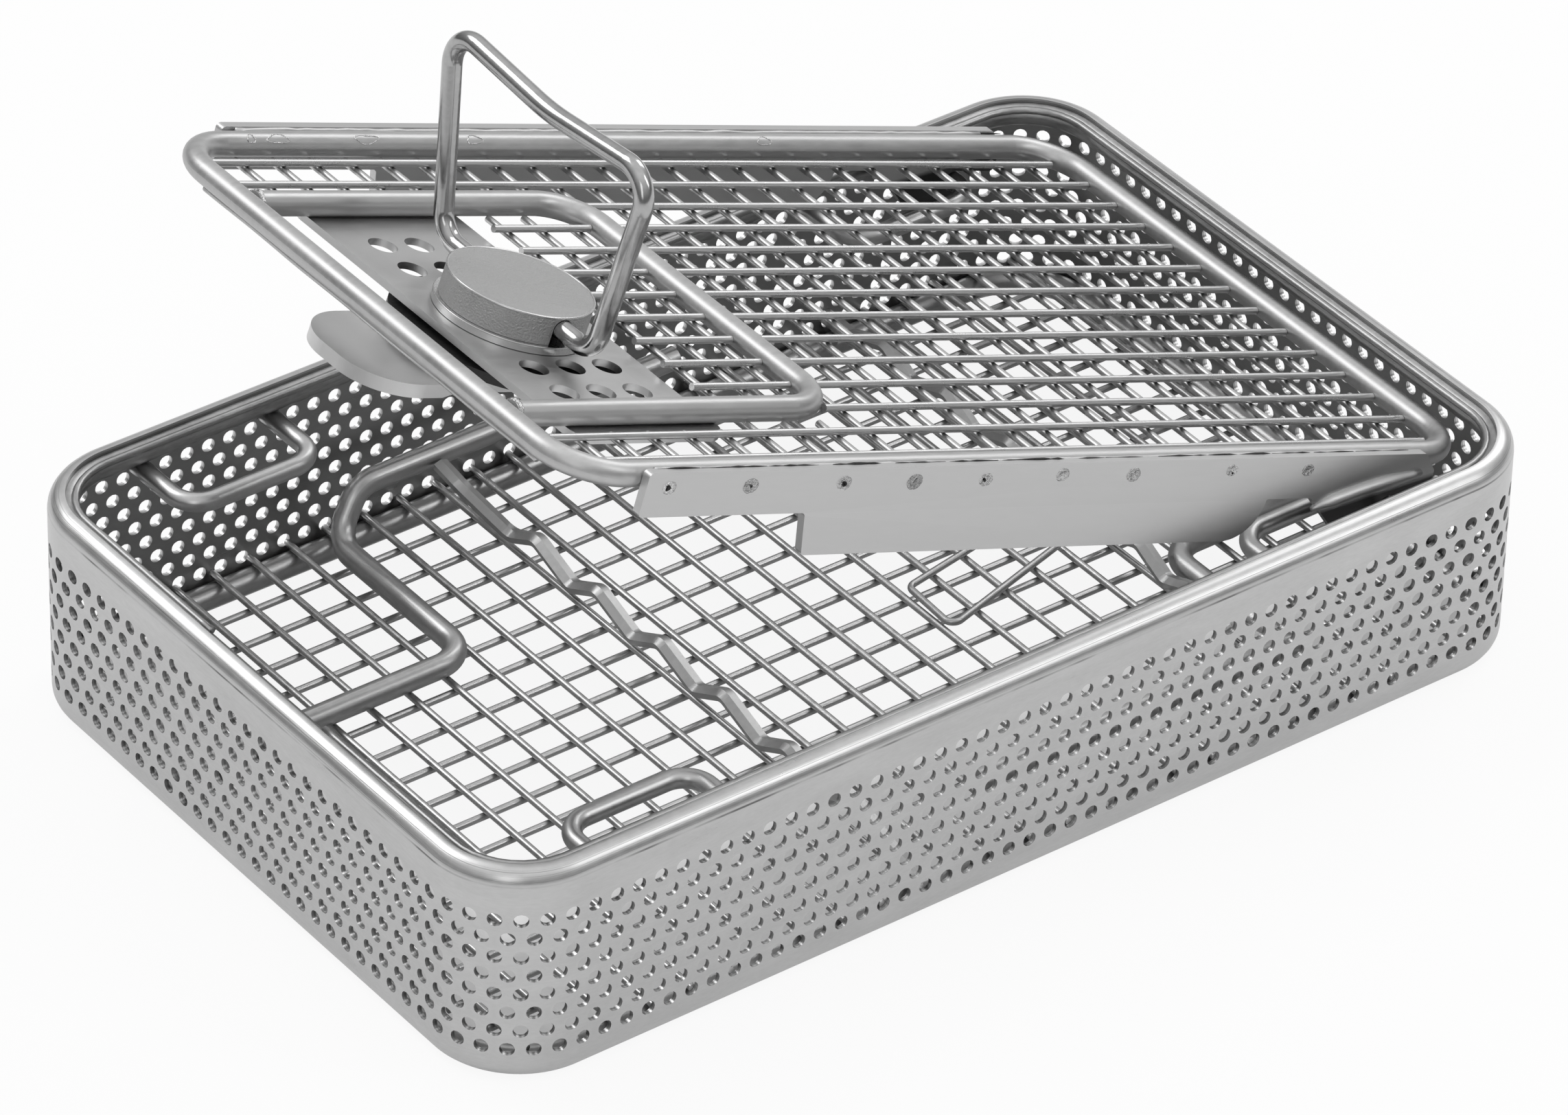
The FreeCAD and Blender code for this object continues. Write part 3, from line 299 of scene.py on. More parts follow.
def wallShadeAndStreaks(tree, place):
    values = rimShadeAndStreaks
    profile = tree.nodes.new("ShaderNodeUVMap")
    profile.uv_map = "profile"
    level = splitPlace(tree, profile.outputs["UV"])["X"]
    uneven = noiseOf(tree, place, values["unevenScale"], values["unevenDetail"])
    offset = calculate(tree, "ABSOLUTE", minus(tree, level, wall["crease"] * mm))
    # painted shade in the crease under the rolled rim
    crease = spread(tree, offset, values["creaseCore"] * mm, values["creaseEdge"] * mm, 1, 0)
    crease = times(tree, crease, spread(tree, uneven, values["unevenFrom"], values["unevenTo"],
                                        values["creaseWeak"], values["creaseStrong"]))
    soft = tree.nodes.new("ShaderNodeVectorMath")
    soft.operation = "SCALE"
    soft.inputs["Scale"].default_value = values["streakAlong"]
    tree.links.new(place, soft.inputs[0])
    around = tree.nodes.new("ShaderNodeCombineXYZ")
    tree.links.new(times(tree, level, values["streakAround"]), around.inputs["X"])
    both = tree.nodes.new("ShaderNodeVectorMath")
    both.operation = "ADD"
    tree.links.new(soft.outputs["Vector"], both.inputs[0])
    tree.links.new(around.outputs["Vector"], both.inputs[1])
    streak = noiseOf(tree, both.outputs["Vector"], 1, 2)
    streak = spread(tree, streak, values["streakFrom"], values["streakTo"],
                    0, values["streakShade"])
    onRim = spread(tree, level, values["rimFrom"] * mm, values["rimTo"] * mm, 0, 1)
    dark = times(tree, streak, onRim)
    # painted shade over the inner face
    inner = spread(tree, level, 0, values["innerFull"] * mm, 0, values["innerShade"])
    shade = larger(tree, larger(tree, crease, dark), inner)
    groove = larger(tree, crease, times(tree, dark, values["streakDepth"]))
    return shade, times(tree, groove, values["depth"])


# Each steel: grey from dark to light, roughness from smooth to rough, grain per metre, stretch
# of the grain, and depth of the relief in millimetres
looks = {
    "wall_steel": {"dark": 0.5, "light": 0.6, "smooth": 0.26, "rough": 0.38, "grain": 500,
                   "stretch": (1, 1, 4), "relief": 0.012, "shadeAndMarks": wallShadeAndStreaks},
    "rod_steel": {"dark": 0.44, "light": 0.56, "smooth": 0.28, "rough": 0.4, "grain": 700,
                  "relief": 0.015},
    # darker than the other rods: painted shade on the rim rod and the rolled-in edge under the
    # rim
    "rim_rod_shaded_steel": {"dark": 0.24, "light": 0.46, "smooth": 0.3, "rough": 0.42, "grain": 500,
                      "stretch": (1, 1, 6), "relief": 0.03},
    "lid_rod_steel": {"dark": 0.43, "light": 0.56, "smooth": 0.36, "rough": 0.48, "grain": 900,
                      "stretch": (0.25, 1, 1), "relief": 0.015, "inLid": True},
    "floor_cross_steel": {"dark": 0.46, "light": 0.6, "smooth": 0.26, "rough": 0.38,
                          "grain": 700, "relief": 0.008,
                          "shadeAndMarks": crossingShadeAndTint(axis="Y", pitch=tray["meshPitch"],
                                                 centre=tray["meshPitch"] / 2,
                                                 radius=1.2, strength=0.18)},
    "floor_long_steel": {"dark": 0.5, "light": 0.64, "smooth": 0.26, "rough": 0.38,
                         "grain": 700, "relief": 0.008,
                         "shadeAndMarks": crossingShadeAndTint(axis="X", pitch=tray["meshPitch"], centre=0,
                                                radius=1.5, strength=0.3)},
    "lid_long_steel": {"dark": 0.46, "light": 0.6, "smooth": 0.24, "rough": 0.36, "grain": 700,
                       "relief": 0.01, "inLid": True},
    "lid_cross_steel": {"dark": 0.4, "light": 0.55, "smooth": 0.26, "rough": 0.38, "grain": 700,
                        "relief": 0.01, "inLid": True,
                        "shadeAndMarks": crossingShadeAndTint(axis="Y", pitch=tray["lidPitch"],
                                               centre=tray["lidPitch"] / 2,
                                               radius=1.6, strength=0.5)},
    "side_plate_steel": {"dark": 0.5, "light": 0.58, "smooth": 0.36, "rough": 0.46,
                         "grain": 1200, "stretch": (0.15, 1, 1), "relief": 0.01,
                         "inLid": True, "shadeAndMarks": lipShade},
    "latch_plate_steel": {"dark": 0.5, "light": 0.6, "smooth": 0.3, "rough": 0.42,
                          "grain": 1100, "stretch": (0.2, 1, 1), "relief": 0.012, "inLid": True},
    "tongue_steel": {"dark": 0.52, "light": 0.62, "smooth": 0.26, "rough": 0.38, "grain": 900,
                     "stretch": (0.3, 1, 1), "relief": 0.012, "inLid": True},
    "rail_steel": {"dark": 0.4, "light": 0.54, "smooth": 0.34, "rough": 0.48, "grain": 800,
                   "relief": 0.03},
    "knob_metal": {"dark": 0.27, "light": 0.48, "smooth": 0.48, "rough": 0.62, "grain": 2600,
                   "relief": 0.3, "inLid": True},
    "washer_steel": {"dark": 0.5, "light": 0.62, "smooth": 0.2, "rough": 0.3, "grain": 900,
                     "relief": 0.01, "inLid": True},
    "bail_steel": {"dark": 0.36, "light": 0.5, "smooth": 0.13, "rough": 0.22, "grain": 700,
                   "relief": 0.012},
    "weld_steel": {"dark": 0.14, "light": 0.82, "smooth": 0.08, "rough": 0.24, "grain": 1300,
                   "relief": 0.6},
}

# Dark surfaces: a near-black disc, and painted shade for the cracks of the seam where a plate is
# welded along a rod and for the pits in the weld craters
darkLooks = {
    "dark_disc": {"base": 0.5, "metallic": 0.0, "greys": (0.006, 0.03), "greyScale": 500,
                  "roughness": (0.35, 0.6), "roughScale": 900},
    "painted_pit_and_crack_shade": {"base": 0.7, "metallic": 0.3, "greys": (0.004, 0.05), "greyScale": 1500,
                   "roughness": (0.5, 0.8), "roughScale": 2500},
}


def darkSurface(name, look):
    material, tree, shader = newMaterial(name, look["base"], look["metallic"])
    place = placeOn(tree)
    colour = mixColours(tree, noiseOf(tree, place, look["greyScale"]), *look["greys"])
    rough = spread(tree, noiseOf(tree, place, look["roughScale"]),
                   surface["levelFrom"], surface["levelTo"], *look["roughness"])
    tree.links.new(colour, shader.inputs["Base Color"])
    tree.links.new(rough, shader.inputs["Roughness"])
    return material


finish = {name: steel(name, look) for name, look in looks.items()}
finish.update({name: darkSurface(name, look) for name, look in darkLooks.items()})

# Which pieces take which material
dressing = {
    "wall_steel": ("tray_wall",),
    "rim_rod_shaded_steel": ("rim_rod",),
    "rod_steel": ("floor_frame_rod", "latch_loop_front", "latch_loop_back", "hinge_loop_front",
                  "hinge_loop_back", "rest_rod_left", "rest_rod_right", "wire_clip"),
    "rail_steel": ("wave_rail_left", "wave_rail_right"),
    "floor_cross_steel": ("floor_cross_wires",),
    "floor_long_steel": ("floor_long_wires",),
    "lid_rod_steel": ("lid_frame_rod", "lid_inner_rod"),
    "lid_long_steel": ("lid_long_wires",),
    "lid_cross_steel": ("lid_cross_wires",),
    "side_plate_steel": ("hinge_plate_front", "hinge_plate_back"),
    "latch_plate_steel": ("latch_plate",),
    "knob_metal": ("latch_knob",),
    "washer_steel": ("knob_washer", "latch_pivot"),
    "dark_disc": ("slide_disc",),
    "tongue_steel": ("latch_tongue",),
    "bail_steel": ("bail_handle",),
}
for kind, labels in dressing.items():
    for label in labels:
        if not nodes[label].data.materials:
            nodes[label].data.materials.append(finish[kind])
        for slot in nodes[label].material_slots:
            slot.material = finish[kind]
print("pieces dressed")

# The wall's outline: each straight run with start, direction, outward side and length, then the
# centre and first angle of the bend after it
halfX, halfY = tray["length"] / 2, tray["width"] / 2
bendX, bendY = halfX - tray["corner"], halfY - tray["corner"]
straightX, straightY = 2 * bendX, 2 * bendY
bow = tray["corner"] * math.pi / 2
perimeter = 2 * (straightX + straightY) + 4 * bow
runs = (
    ((-bendX, -halfY), (1, 0), (0, -1), straightX, (bendX, -bendY), -90),
    ((halfX, -bendY), (0, 1), (1, 0), straightY, (bendX, bendY), 0),
    ((bendX, halfY), (-1, 0), (0, 1), straightX, (-bendX, bendY), 90),
    ((-halfX, bendY), (0, -1), (-1, 0), straightY, (-bendX, -bendY), 180),
)


# Point of the wall: distance along its outer face, height, and depth under that face
def wallPoint(along, level, depth):
    along %= perimeter
    for start, direction, outward, length, centre, firstAngle in runs:
        if along <= length:
            x = start[0] + direction[0] * along - outward[0] * depth
            y = start[1] + direction[1] * along - outward[1] * depth
            return Vector((x, y, level)) * mm
        along -= length
        if along < bow:
            angle = math.radians(firstAngle) + along / tray["corner"]
            reach = tray["corner"] - depth
            x = centre[0] + reach * math.cos(angle)
            y = centre[1] + reach * math.sin(angle)
            return Vector((x, y, level)) * mm
        along -= bow
    return wallPoint(0, level, depth)


# True on the face seen from outside and over the rolled edges
def isOutside(level, depth):
    curl, sheet, slack = tray["curl"], tray["sheet"], 0.01
    rolled = min(level, tray["height"] - level)
    if rolled >= curl:
        return depth < sheet / 2
    if depth >= wall["land"] + curl - slack:
        return rolled < sheet / 2
    return math.hypot(max(curl - depth, 0), curl - rolled) > curl - sheet / 2


# Outline of a rolled edge, from the outer band over the roll to the inner band
def rolledOutline(top):
    curl, sheet, steps = tray["curl"], tray["sheet"], wall["curlSteps"]
    sign = 1 if top else -1
    edge = tray["height"] if top else 0
    centre = edge - sign * curl
    bend = curl - sheet
    angles = [math.pi / 2 * step / steps for step in range(1, steps + 1)]
    outline = [(0, centre)]
    for angle in angles:
        outline.append((curl - curl * math.cos(angle), centre + sign * curl * math.sin(angle)))
    outline.append((curl + wall["land"], edge))
    outline.append((curl + wall["land"], edge - sign * sheet))
    for angle in reversed(angles):
        outline.append((curl - bend * math.cos(angle), centre + sign * bend * math.sin(angle)))
    outline.append((sheet, centre))
    return outline


# An object from a form, with smooth faces and one material
def makeObject(name, form, material):
    bmesh.ops.recalc_face_normals(form, faces=form.faces)
    mesh = bpy.data.meshes.new(name)
    form.to_mesh(mesh)
    form.free()
    for polygon in mesh.polygons:
        polygon.use_smooth = True
    mesh.materials.append(material)
    piece = bpy.data.objects.new(name, mesh)
    scene.collection.objects.link(piece)
    return piece


# Perforated sheet with its rolled rim and foot, as one closed mesh
def makeWall():
    form = bmesh.new()
    pitch = perimeter / wall["columns"]
    radius, steps, sheet = wall["holeRadius"], wall["sideSteps"], tray["sheet"]
    half = wall["rowPitch"] / 2
    store = {}
    profile = {}

    def vertex(column, level, depth):
        key = (round(column * 8) % (wall["columns"] * 8), round(level, 4), round(depth, 4))
        if key not in store:
            point = wallPoint(wall["firstHole"] + column * pitch, level, depth)
            store[key] = form.verts.new(point)
            profile[store[key]] = level + depth if isOutside(level, depth) else -level
        return store[key]

    def addFace(corners, forward):
        form.faces.new(corners if forward else corners[::-1])

    # Square cells, each with a round hole
    shares = [i / steps for i in range(steps)]
    ring = [(-0.5 + share, -1) for share in shares] + [(0.5, -1 + 2 * share) for share in shares]
    ring += [(0.5 - share, 1) for share in shares] + [(-0.5, 1 - 2 * share) for share in shares]
    for row in range(wall["rows"]):
        level = wall["topRow"] - row * wall["rowPitch"]
        for column in range(wall["columns"]):
            middle = column + (0.5 if row % 2 else 0.0)
            circles = []
            for depth in (0, sheet):
                circle = []
                border = []
                for x, z in ring:
                    border.append(vertex(middle + x, level + z * half, depth))
                    angle = math.atan2(z * half, x * pitch)
                    along = wall["firstHole"] + middle * pitch + radius * math.cos(angle)
                    height = level + radius * math.sin(angle)
                    circle.append(form.verts.new(wallPoint(along, height, depth)))
                    profile[circle[-1]] = height if depth == 0 else -height
                circles.append(circle)
                for i in range(len(ring)):
                    j = (i + 1) % len(ring)
                    addFace([border[i], border[j], circle[j], circle[i]], depth == 0)
            for i in range(len(ring)):
                j = (i + 1) % len(ring)
                form.faces.new([circles[0][i], circles[0][j], circles[1][j], circles[1][i]])

    # Plain bands over and under the holes, with the rolled edges; finer round the corners
    bandTop = wall["topRow"] + half
    bandFoot = wall["topRow"] - (wall["rows"] - 1) * wall["rowPitch"] - half
    for top, level in ((True, bandTop), (False, bandFoot)):
        outline = rolledOutline(top)
        shift = 0.5 if (not top and wall["rows"] % 2 == 0) else 0.0
        for column in range(wall["columns"]):
            left = column - 0.5 + shift
            chain = [left + step / steps for step in range(steps + 1)]
            middle = wallPoint(wall["firstHole"] + (left + 0.5) * pitch, 0, 0)
            atCorner = (abs(middle.x) > (bendX - pitch / 2) * mm
                        and abs(middle.y) > (bendY - pitch / 2) * mm)
            columns = chain if atCorner else [left, left + 1]
            for first, second in zip(columns, columns[1:]):
                here = [vertex(first, z, depth) for depth, z in outline]
                there = [vertex(second, z, depth) for depth, z in outline]
                for i in range(len(outline) - 1):
                    addFace([here[i], there[i], there[i + 1], here[i + 1]], top)
                part = [place for place in chain if first <= place <= second]
                outer = [vertex(place, level, 0) for place in part]
                addFace(outer + [there[0], here[0]], top)
                inner = [vertex(place, level, sheet) for place in part]
                addFace(inner + [there[-1], here[-1]], not top)

    form.verts.index_update()
    levels = [0.0] * len(form.verts)
    for corner, value in profile.items():
        levels[corner.index] = value * mm
    piece = makeObject("perforated_wall", form, finish["wall_steel"])
    layer = piece.data.uv_layers.new(name="profile")
    for loop in piece.data.loops:
        layer.data[loop.index].uv = (levels[loop.vertex_index], 0)
    piece.data.set_sharp_from_angle(angle=math.radians(wall["sharpFrom"]))
    return piece


perforatedWall = makeWall()
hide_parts("tray_wall")
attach(perforatedWall, "tray")
triangles = sum(len(polygon.vertices) - 2 for polygon in perforatedWall.data.polygons)
print("perforated wall:", triangles, "triangles")


# A mesh piece that rides on one of the bodies
def addPiece(name, form, material, part):
    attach(makeObject(name, form, finish[material]), part)


# Point of the shut lid's own frame, in millimetres, as a point of the scene
def lidSpot(x, y, z):
    return lidFrame @ (Vector((x, y, z)) * mm)


# Angles of a full turn in equal steps
def turnAngles(steps):
    return [2 * math.pi * k / steps for k in range(steps)]


def joinRings(form, low, high):
    for k in range(len(low)):
        after = (k + 1) % len(low)
        form.faces.new([low[k], low[after], high[after], high[k]])


# Round bar along a line of points; radii may change along it, and a closed bar is a ring
def addBar(form, points, radii, sides=8, closed=False):
    rings = []
    count = len(points)
    for i, point in enumerate(points):
        before = points[i - 1] if i or closed else point
        after = points[(i + 1) % count] if i < count - 1 or closed else point
        along = (after - before).normalized()
        steep = abs(along.z) >= 0.8
        helper = Vector((0, 1, 0)) if steep else Vector((0, 0, 1))
        first = along.cross(helper).normalized()
        second = along.cross(first)
        ring = []
        for angle in turnAngles(sides):
            offset = (first * math.cos(angle) + second * math.sin(angle)) * radii[i] * mm
            ring.append(form.verts.new(point + offset))
        rings.append(ring)
    for i in range(count if closed else count - 1):
        joinRings(form, rings[i], rings[(i + 1) % count])
    if not closed:
        form.faces.new(rings[0][::-1])
        form.faces.new(rings[-1])


# The sheet's rolled-in edge inside the rim, open where the latch tongue passes
roll = {"depth": 5.5, "level": 47.1, "radius": 0.8, "sides": 10, "open": 19.0, "step": 3.5}


def makeRimRoll():
    form = bmesh.new()
    latchMiddle = 2 * straightX + 1.5 * straightY + 3 * bow
    start = latchMiddle + roll["open"]
    reach = perimeter - 2 * roll["open"]
    count = int(reach / roll["step"])
    points = [wallPoint(start + reach * i / count, roll["level"], roll["depth"])
              for i in range(count + 1)]
    addBar(form, points, [roll["radius"]] * len(points), roll["sides"])
    addPiece("rim_inner_roll", form, "rim_rod_shaded_steel", "tray")


# Spot weld craters on the outer faces of the side plates: profile rings go from the middle
# outwards, as share of the radius and share of the rise
crater = {
    "places": (-190.2, -170.3, -147.1, -129.2, -111.0, -91.3, -72.5, -46.3, -25.5),
    "level": 8.7, "levelSpread": 0.4, "radius": 1.75, "sizes": (0.85, 1.12), "squash": 0.85,
    "face": 70.65, "rise": 0.24, "rises": (0.45, 1.2), "lowest": 0.06, "reachSpread": 0.05,
    "profile": ((0.25, 0.1), (0.55, 0.25), (0.74, 0.9), (0.86, 1.0), (1.0, -0.05)),
    "steps": 22, "seed": 4,
}


def makeCraters(chance):
    form = bmesh.new()
    for side in (-1, 1):
        for x in crater["places"]:
            size = crater["radius"] * chance.uniform(*crater["sizes"])
            z = crater["level"] + chance.uniform(-crater["levelSpread"], crater["levelSpread"])
            rings = []
            for reach, rise in crater["profile"]:
                ring = []
                for angle in turnAngles(crater["steps"]):
                    spreadOut = chance.uniform(-crater["reachSpread"], crater["reachSpread"])
                    far = size * (reach + spreadOut)
                    least = rise if rise < 0 else crater["lowest"]
                    high = max(rise * chance.uniform(*crater["rises"]), least)
                    out = crater["face"] + crater["rise"] * high
                    spot = lidSpot(x + far * math.cos(angle), side * out,
                                   z + crater["squash"] * far * math.sin(angle))
                    ring.append(form.verts.new(spot))
                rings.append(ring)
            form.faces.new(rings[0])
            for low, high in zip(rings, rings[1:]):
                joinRings(form, low, high)
    addPiece("weld_craters", form, "weld_steel", "lid")


# Dark pits in some craters, painted shade in their hollow centres: place along the lid, shift
# from it and radius
pits = {
    "places": ((-190.2, -0.5, 0.62), (-170.3, 0.1, 0.3), (-147.1, 0.0, 0.6),
               (-111.0, -0.4, 0.35), (-46.3, 0.3, 0.25)),
    "drop": 0.35, "out": 0.16, "bottom": 0.02, "sizes": (0.75, 1.25), "steps": 12,
}


def makePits(chance):
    form = bmesh.new()
    z = crater["level"] - pits["drop"]
    for side in (-1, 1):
        for place, shift, size in pits["places"]:
            x = place + shift
            ring = []
            for angle in turnAngles(pits["steps"]):
                far = size * chance.uniform(*pits["sizes"])
                spot = lidSpot(x + far * math.cos(angle), side * (crater["face"] + pits["out"]),
                               z + far * math.sin(angle))
                ring.append(form.verts.new(spot))
            form.faces.new(ring)
            tip = form.verts.new(lidSpot(x, side * (crater["face"] + pits["bottom"]), z))
            for k in range(len(ring)):
                form.faces.new([ring[k], ring[(k + 1) % len(ring)], tip])
    addPiece("weld_pits", form, "painted_pit_and_crack_shade", "lid")


# Weld seam between the lid's frame rod and its side plates
seam = {
    "from": -193.0, "to": 4.0, "place": (68.35, 10.75), "step": 2.5, "waver": 0.08,
    "fillet": 0.75, "sizes": (0.85, 1.15), "seed": 9,
}
# Dark lines along that seam, painted shade in the crack between fillet and plate; front and back
# places are outward and up
crack = {
    "front": (68.95, 11.48), "back": (68.72, 10.9), "endBefore": 6, "lengths": (4, 18),
    "widths": (0.12, 0.3), "sizes": (0.5, 1.3), "tip": 0.05, "step": 1.5, "fewest": 4,
    "waver": 0.06, "gaps": (0.2, 0.6, 1.0, 3.5),
}


def makeSeams():
    chance = random.Random(seam["seed"])
    fillet = bmesh.new()
    cracks = bmesh.new()
    for side in (-1, 1):
        points = []
        radii = []
        y, z = seam["place"]
        x = seam["from"]
        while x < seam["to"]:
            points.append(lidSpot(x, side * y, z + chance.uniform(-seam["waver"], seam["waver"])))
            radii.append(seam["fillet"] * chance.uniform(*seam["sizes"]))
            x += seam["step"]
        addBar(fillet, points, radii)
        y, z = crack["front"] if side < 0 else crack["back"]
        x = seam["from"]
        while x < seam["to"] - crack["endBefore"]:
            length = chance.uniform(*crack["lengths"])
            width = chance.uniform(*crack["widths"])
            last = max(crack["fewest"], int(length / crack["step"])) - 1
            points = [lidSpot(x + length * i / last, side * y,
                              z + chance.uniform(-crack["waver"], crack["waver"]))
                      for i in range(last + 1)]
            radii = [width * chance.uniform(*crack["sizes"]) if 0 < i < last else crack["tip"]
                     for i in range(last + 1)]
            addBar(cracks, points, radii, 6)
            x += length + chance.choice(crack["gaps"])
    addPiece("seam_fillet", fillet, "lid_rod_steel", "lid")
    addPiece("seam_cracks", cracks, "painted_pit_and_crack_shade", "lid")


# Rolled lip at the hinge end of the side plates; its values stand at the top, beside the wall's
def makeLips():
    form = bmesh.new()
    (x0, z0), (x1, z1) = lip["from"], lip["to"]
    for side in (-1, 1):
        points = []
        radii = []
        for i in range(lip["steps"] + 1):
            t = i / lip["steps"]
            rise = lip["bow"] * math.sin(math.pi * t)
            points.append(lidSpot(x0 + (x1 - x0) * t, side * lip["out"],
                                  z0 + (z1 - z0) * t + rise))
            start = lip["startRadius"] + (1 - lip["startRadius"]) * min(1, t * lip["grow"])
            end = 1 - max(0, t - lip["taperFrom"]) * lip["taper"]
            radii.append(lip["radius"] * start * end)
        addBar(form, points, radii, lip["sides"])
    addPiece("hinge_lips", form, "lid_rod_steel", "lid")


# Thin wire under the lid's frame at the latch end
edgeWire = {
    "place": (-208.4, 5.9), "half": 54.0, "radius": 0.75, "sides": 10, "halfSteps": 20,
    "wave": 0.12, "waveRate": 0.21,
}


def makeEdgeWire():
    form = bmesh.new()
    x, z = edgeWire["place"]
    points = []
    for i in range(2 * edgeWire["halfSteps"] + 1):
        y = edgeWire["half"] * (i / edgeWire["halfSteps"] - 1)
        points.append(lidSpot(x + edgeWire["wave"] * math.sin(y * edgeWire["waveRate"]), y, z))
    addBar(form, points, [edgeWire["radius"]] * len(points), edgeWire["sides"])
    addPiece("latch_end_wire", form, "lid_rod_steel", "lid")


# Beads of weld round the inner rod's ends
bead = {
    "place": (-206.0, 42.0, 8.75), "ring": 2.45, "radius": 0.5, "sizes": (0.7, 1.3),
    "waver": 0.2, "steps": 20, "seed": 6,
}
# Flat weld spots on the back frame rod: place along the rod and half length
spots = {
    "places": ((-191.7, 0.9), (-185.1, 2.6), (-163.1, 2.9), (-135.9, 1.9), (-104.0, 1.5),
               (-60.0, 1.8)),
    "half": 0.9, "radius": 0.13, "sizes": (0.5, 1.3), "rod": 2.5, "centre": (66.2, 9.1),
    "turn": 50, "wave": 0.16, "waves": 3, "steps": 24, "sides": 5,
}


def makeBeads():
    chance = random.Random(bead["seed"])
    form = bmesh.new()
    x, half, z = bead["place"]
    for side in (-1, 1):
        points = []
        radii = []
        for angle in turnAngles(bead["steps"]):
            points.append(lidSpot(x + chance.uniform(-bead["waver"], bead["waver"]),
                                  side * half + bead["ring"] * math.cos(angle),
                                  z + bead["ring"] * math.sin(angle)))
            radii.append(bead["radius"] * chance.uniform(*bead["sizes"]))
        addBar(form, points, radii, closed=True)
    turn = math.radians(spots["turn"])
    y, z = spots["centre"]
    for x, length in spots["places"]:
        points = []
        radii = []
        for angle in turnAngles(spots["steps"]):
            wave = 1 + spots["wave"] * math.sin(spots["waves"] * angle + x)
            across = turn + spots["half"] * wave * math.sin(angle) / spots["rod"]
            points.append(lidSpot(x + length * wave * math.cos(angle),
                                  y - spots["rod"] * math.cos(across),
                                  z + spots["rod"] * math.sin(across)))
            radii.append(spots["radius"] * chance.uniform(*spots["sizes"]))
        addBar(form, points, radii, spots["sides"], True)
    addPiece("weld_beads", form, "weld_steel", "lid")


# Bright turned edges on the knob and its washer: reach, level and radius of each
turned = {"centre": -174.1, "edges": ((14.5, 13.58, 0.26), (15.4, 7.72, 0.2)), "steps": 72}


def makeTurnedEdges():
    form = bmesh.new()
    for reach, level, radius in turned["edges"]:
        points = [lidSpot(turned["centre"] + reach * math.cos(angle),
                          reach * math.sin(angle), level)
                  for angle in turnAngles(turned["steps"])]
        addBar(form, points, [radius] * len(points), closed=True)
    addPiece("turned_edges", form, "washer_steel", "latch")


makeRimRoll()
craterChance = random.Random(crater["seed"])
makeCraters(craterChance)
makePits(craterChance)
makeSeams()
makeLips()
makeEdgeWire()
makeBeads()
makeTurnedEdges()
print("welds and trim added")

# White paper: it keeps the shadow, and looks white to the camera and in the metal. Under the
# tray a painted shadow darkens it, deepest beside the two near walls.
paper = {
    "size": 6.0, "roughness": 0.9, "toCamera": 0.9, "toMetal": 0.38, "underTray": 0.14,
    "shadowToCamera": 0.33, "shadowGrey": 0.42, "greys": (0.8, 0.84), "greyScale": 40,
    "shadeX": (26.04, 40.92), "shadeY": (34.1, 53.32), "insetFull": 5, "insetEnd": 3,
}


def makeFloor():
    mesh = bpy.data.meshes.new("floor")
    half = paper["size"] / 2
    corners = [(-half, -half, 0), (half, -half, 0), (half, half, 0), (-half, half, 0)]
    mesh.from_pydata(corners, [], [(0, 1, 2, 3)])
    floor = bpy.data.objects.new("floor", mesh)
    scene.collection.objects.link(floor)
    material, tree, shader = newMaterial("floor_paper", paper["roughness"], 0.0)
    place = placeOn(tree)
    where = splitPlace(tree, place)
    squares = []
    for axis, straight in (("X", bendX), ("Y", bendY)):
        past = minus(tree, calculate(tree, "ABSOLUTE", where[axis]), straight * mm)
        squares.append(calculate(tree, "POWER", larger(tree, past, 0.0), 2.0))
    away = calculate(tree, "SQRT", add(tree, *squares))
    inside = spread(tree, away, (tray["corner"] - paper["insetFull"]) * mm,
                    (tray["corner"] - paper["insetEnd"]) * mm, 1, 0)
    nears = []
    for axis, half, shade in (("X", halfX, paper["shadeX"]), ("Y", halfY, paper["shadeY"])):
        deep = add(tree, where[axis], half * mm)
        nears.append(spread(tree, deep, shade[0] * mm, shade[1] * mm, 1, 0))
    near = times(tree, larger(tree, *nears), inside)
    # painted shadow: less white to the camera and in the metal under the tray and beside the near
    # walls
    lit = minus(tree, 1.0, times(tree, near, 1 - paper["shadowToCamera"]))
    light = minus(tree, 1.0, times(tree, inside, 1 - paper["underTray"]))
    path = tree.nodes.new("ShaderNodeLightPath").outputs
    seen = times(tree, times(tree, path["Is Camera Ray"], paper["toCamera"]), lit)
    metal = add(tree, path["Is Glossy Ray"], path["Is Transmission Ray"])
    metal = times(tree, times(tree, metal, paper["toMetal"]), light)
    plain = mixColours(tree, noiseOf(tree, place, paper["greyScale"]), *paper["greys"])
    # painted shadow: darker paper colour under the tray
    colour = mixColours(tree, inside, plain, paper["shadowGrey"])
    tree.links.new(colour, shader.inputs["Base Color"])
    white = tree.nodes.new("ShaderNodeEmission")
    white.inputs["Color"].default_value = grey(1)
    mix = tree.nodes.new("ShaderNodeMixShader")
    tree.links.new(add(tree, seen, metal), mix.inputs["Fac"])
    tree.links.new(shader.outputs["BSDF"], mix.inputs[1])
    tree.links.new(white.outputs["Emission"], mix.inputs[2])
    tree.links.new(mix.outputs["Shader"], tree.nodes["Material Output"].inputs["Surface"])
    mesh.materials.append(material)


# Soft studio surround: dim at the horizon and bright overhead, white to the camera. A pale
# glow stands at the back right, which the lid's flat plates mirror.
surround = {
    "horizon": 0.16, "zenith": (0.9, 1.0), "between": ((0.22, 0.28), (0.55, 0.6)),
    "glow": 0.34, "glowFrom": 0.55, "glowToward": (0.76, 0.64, 0.11),
}


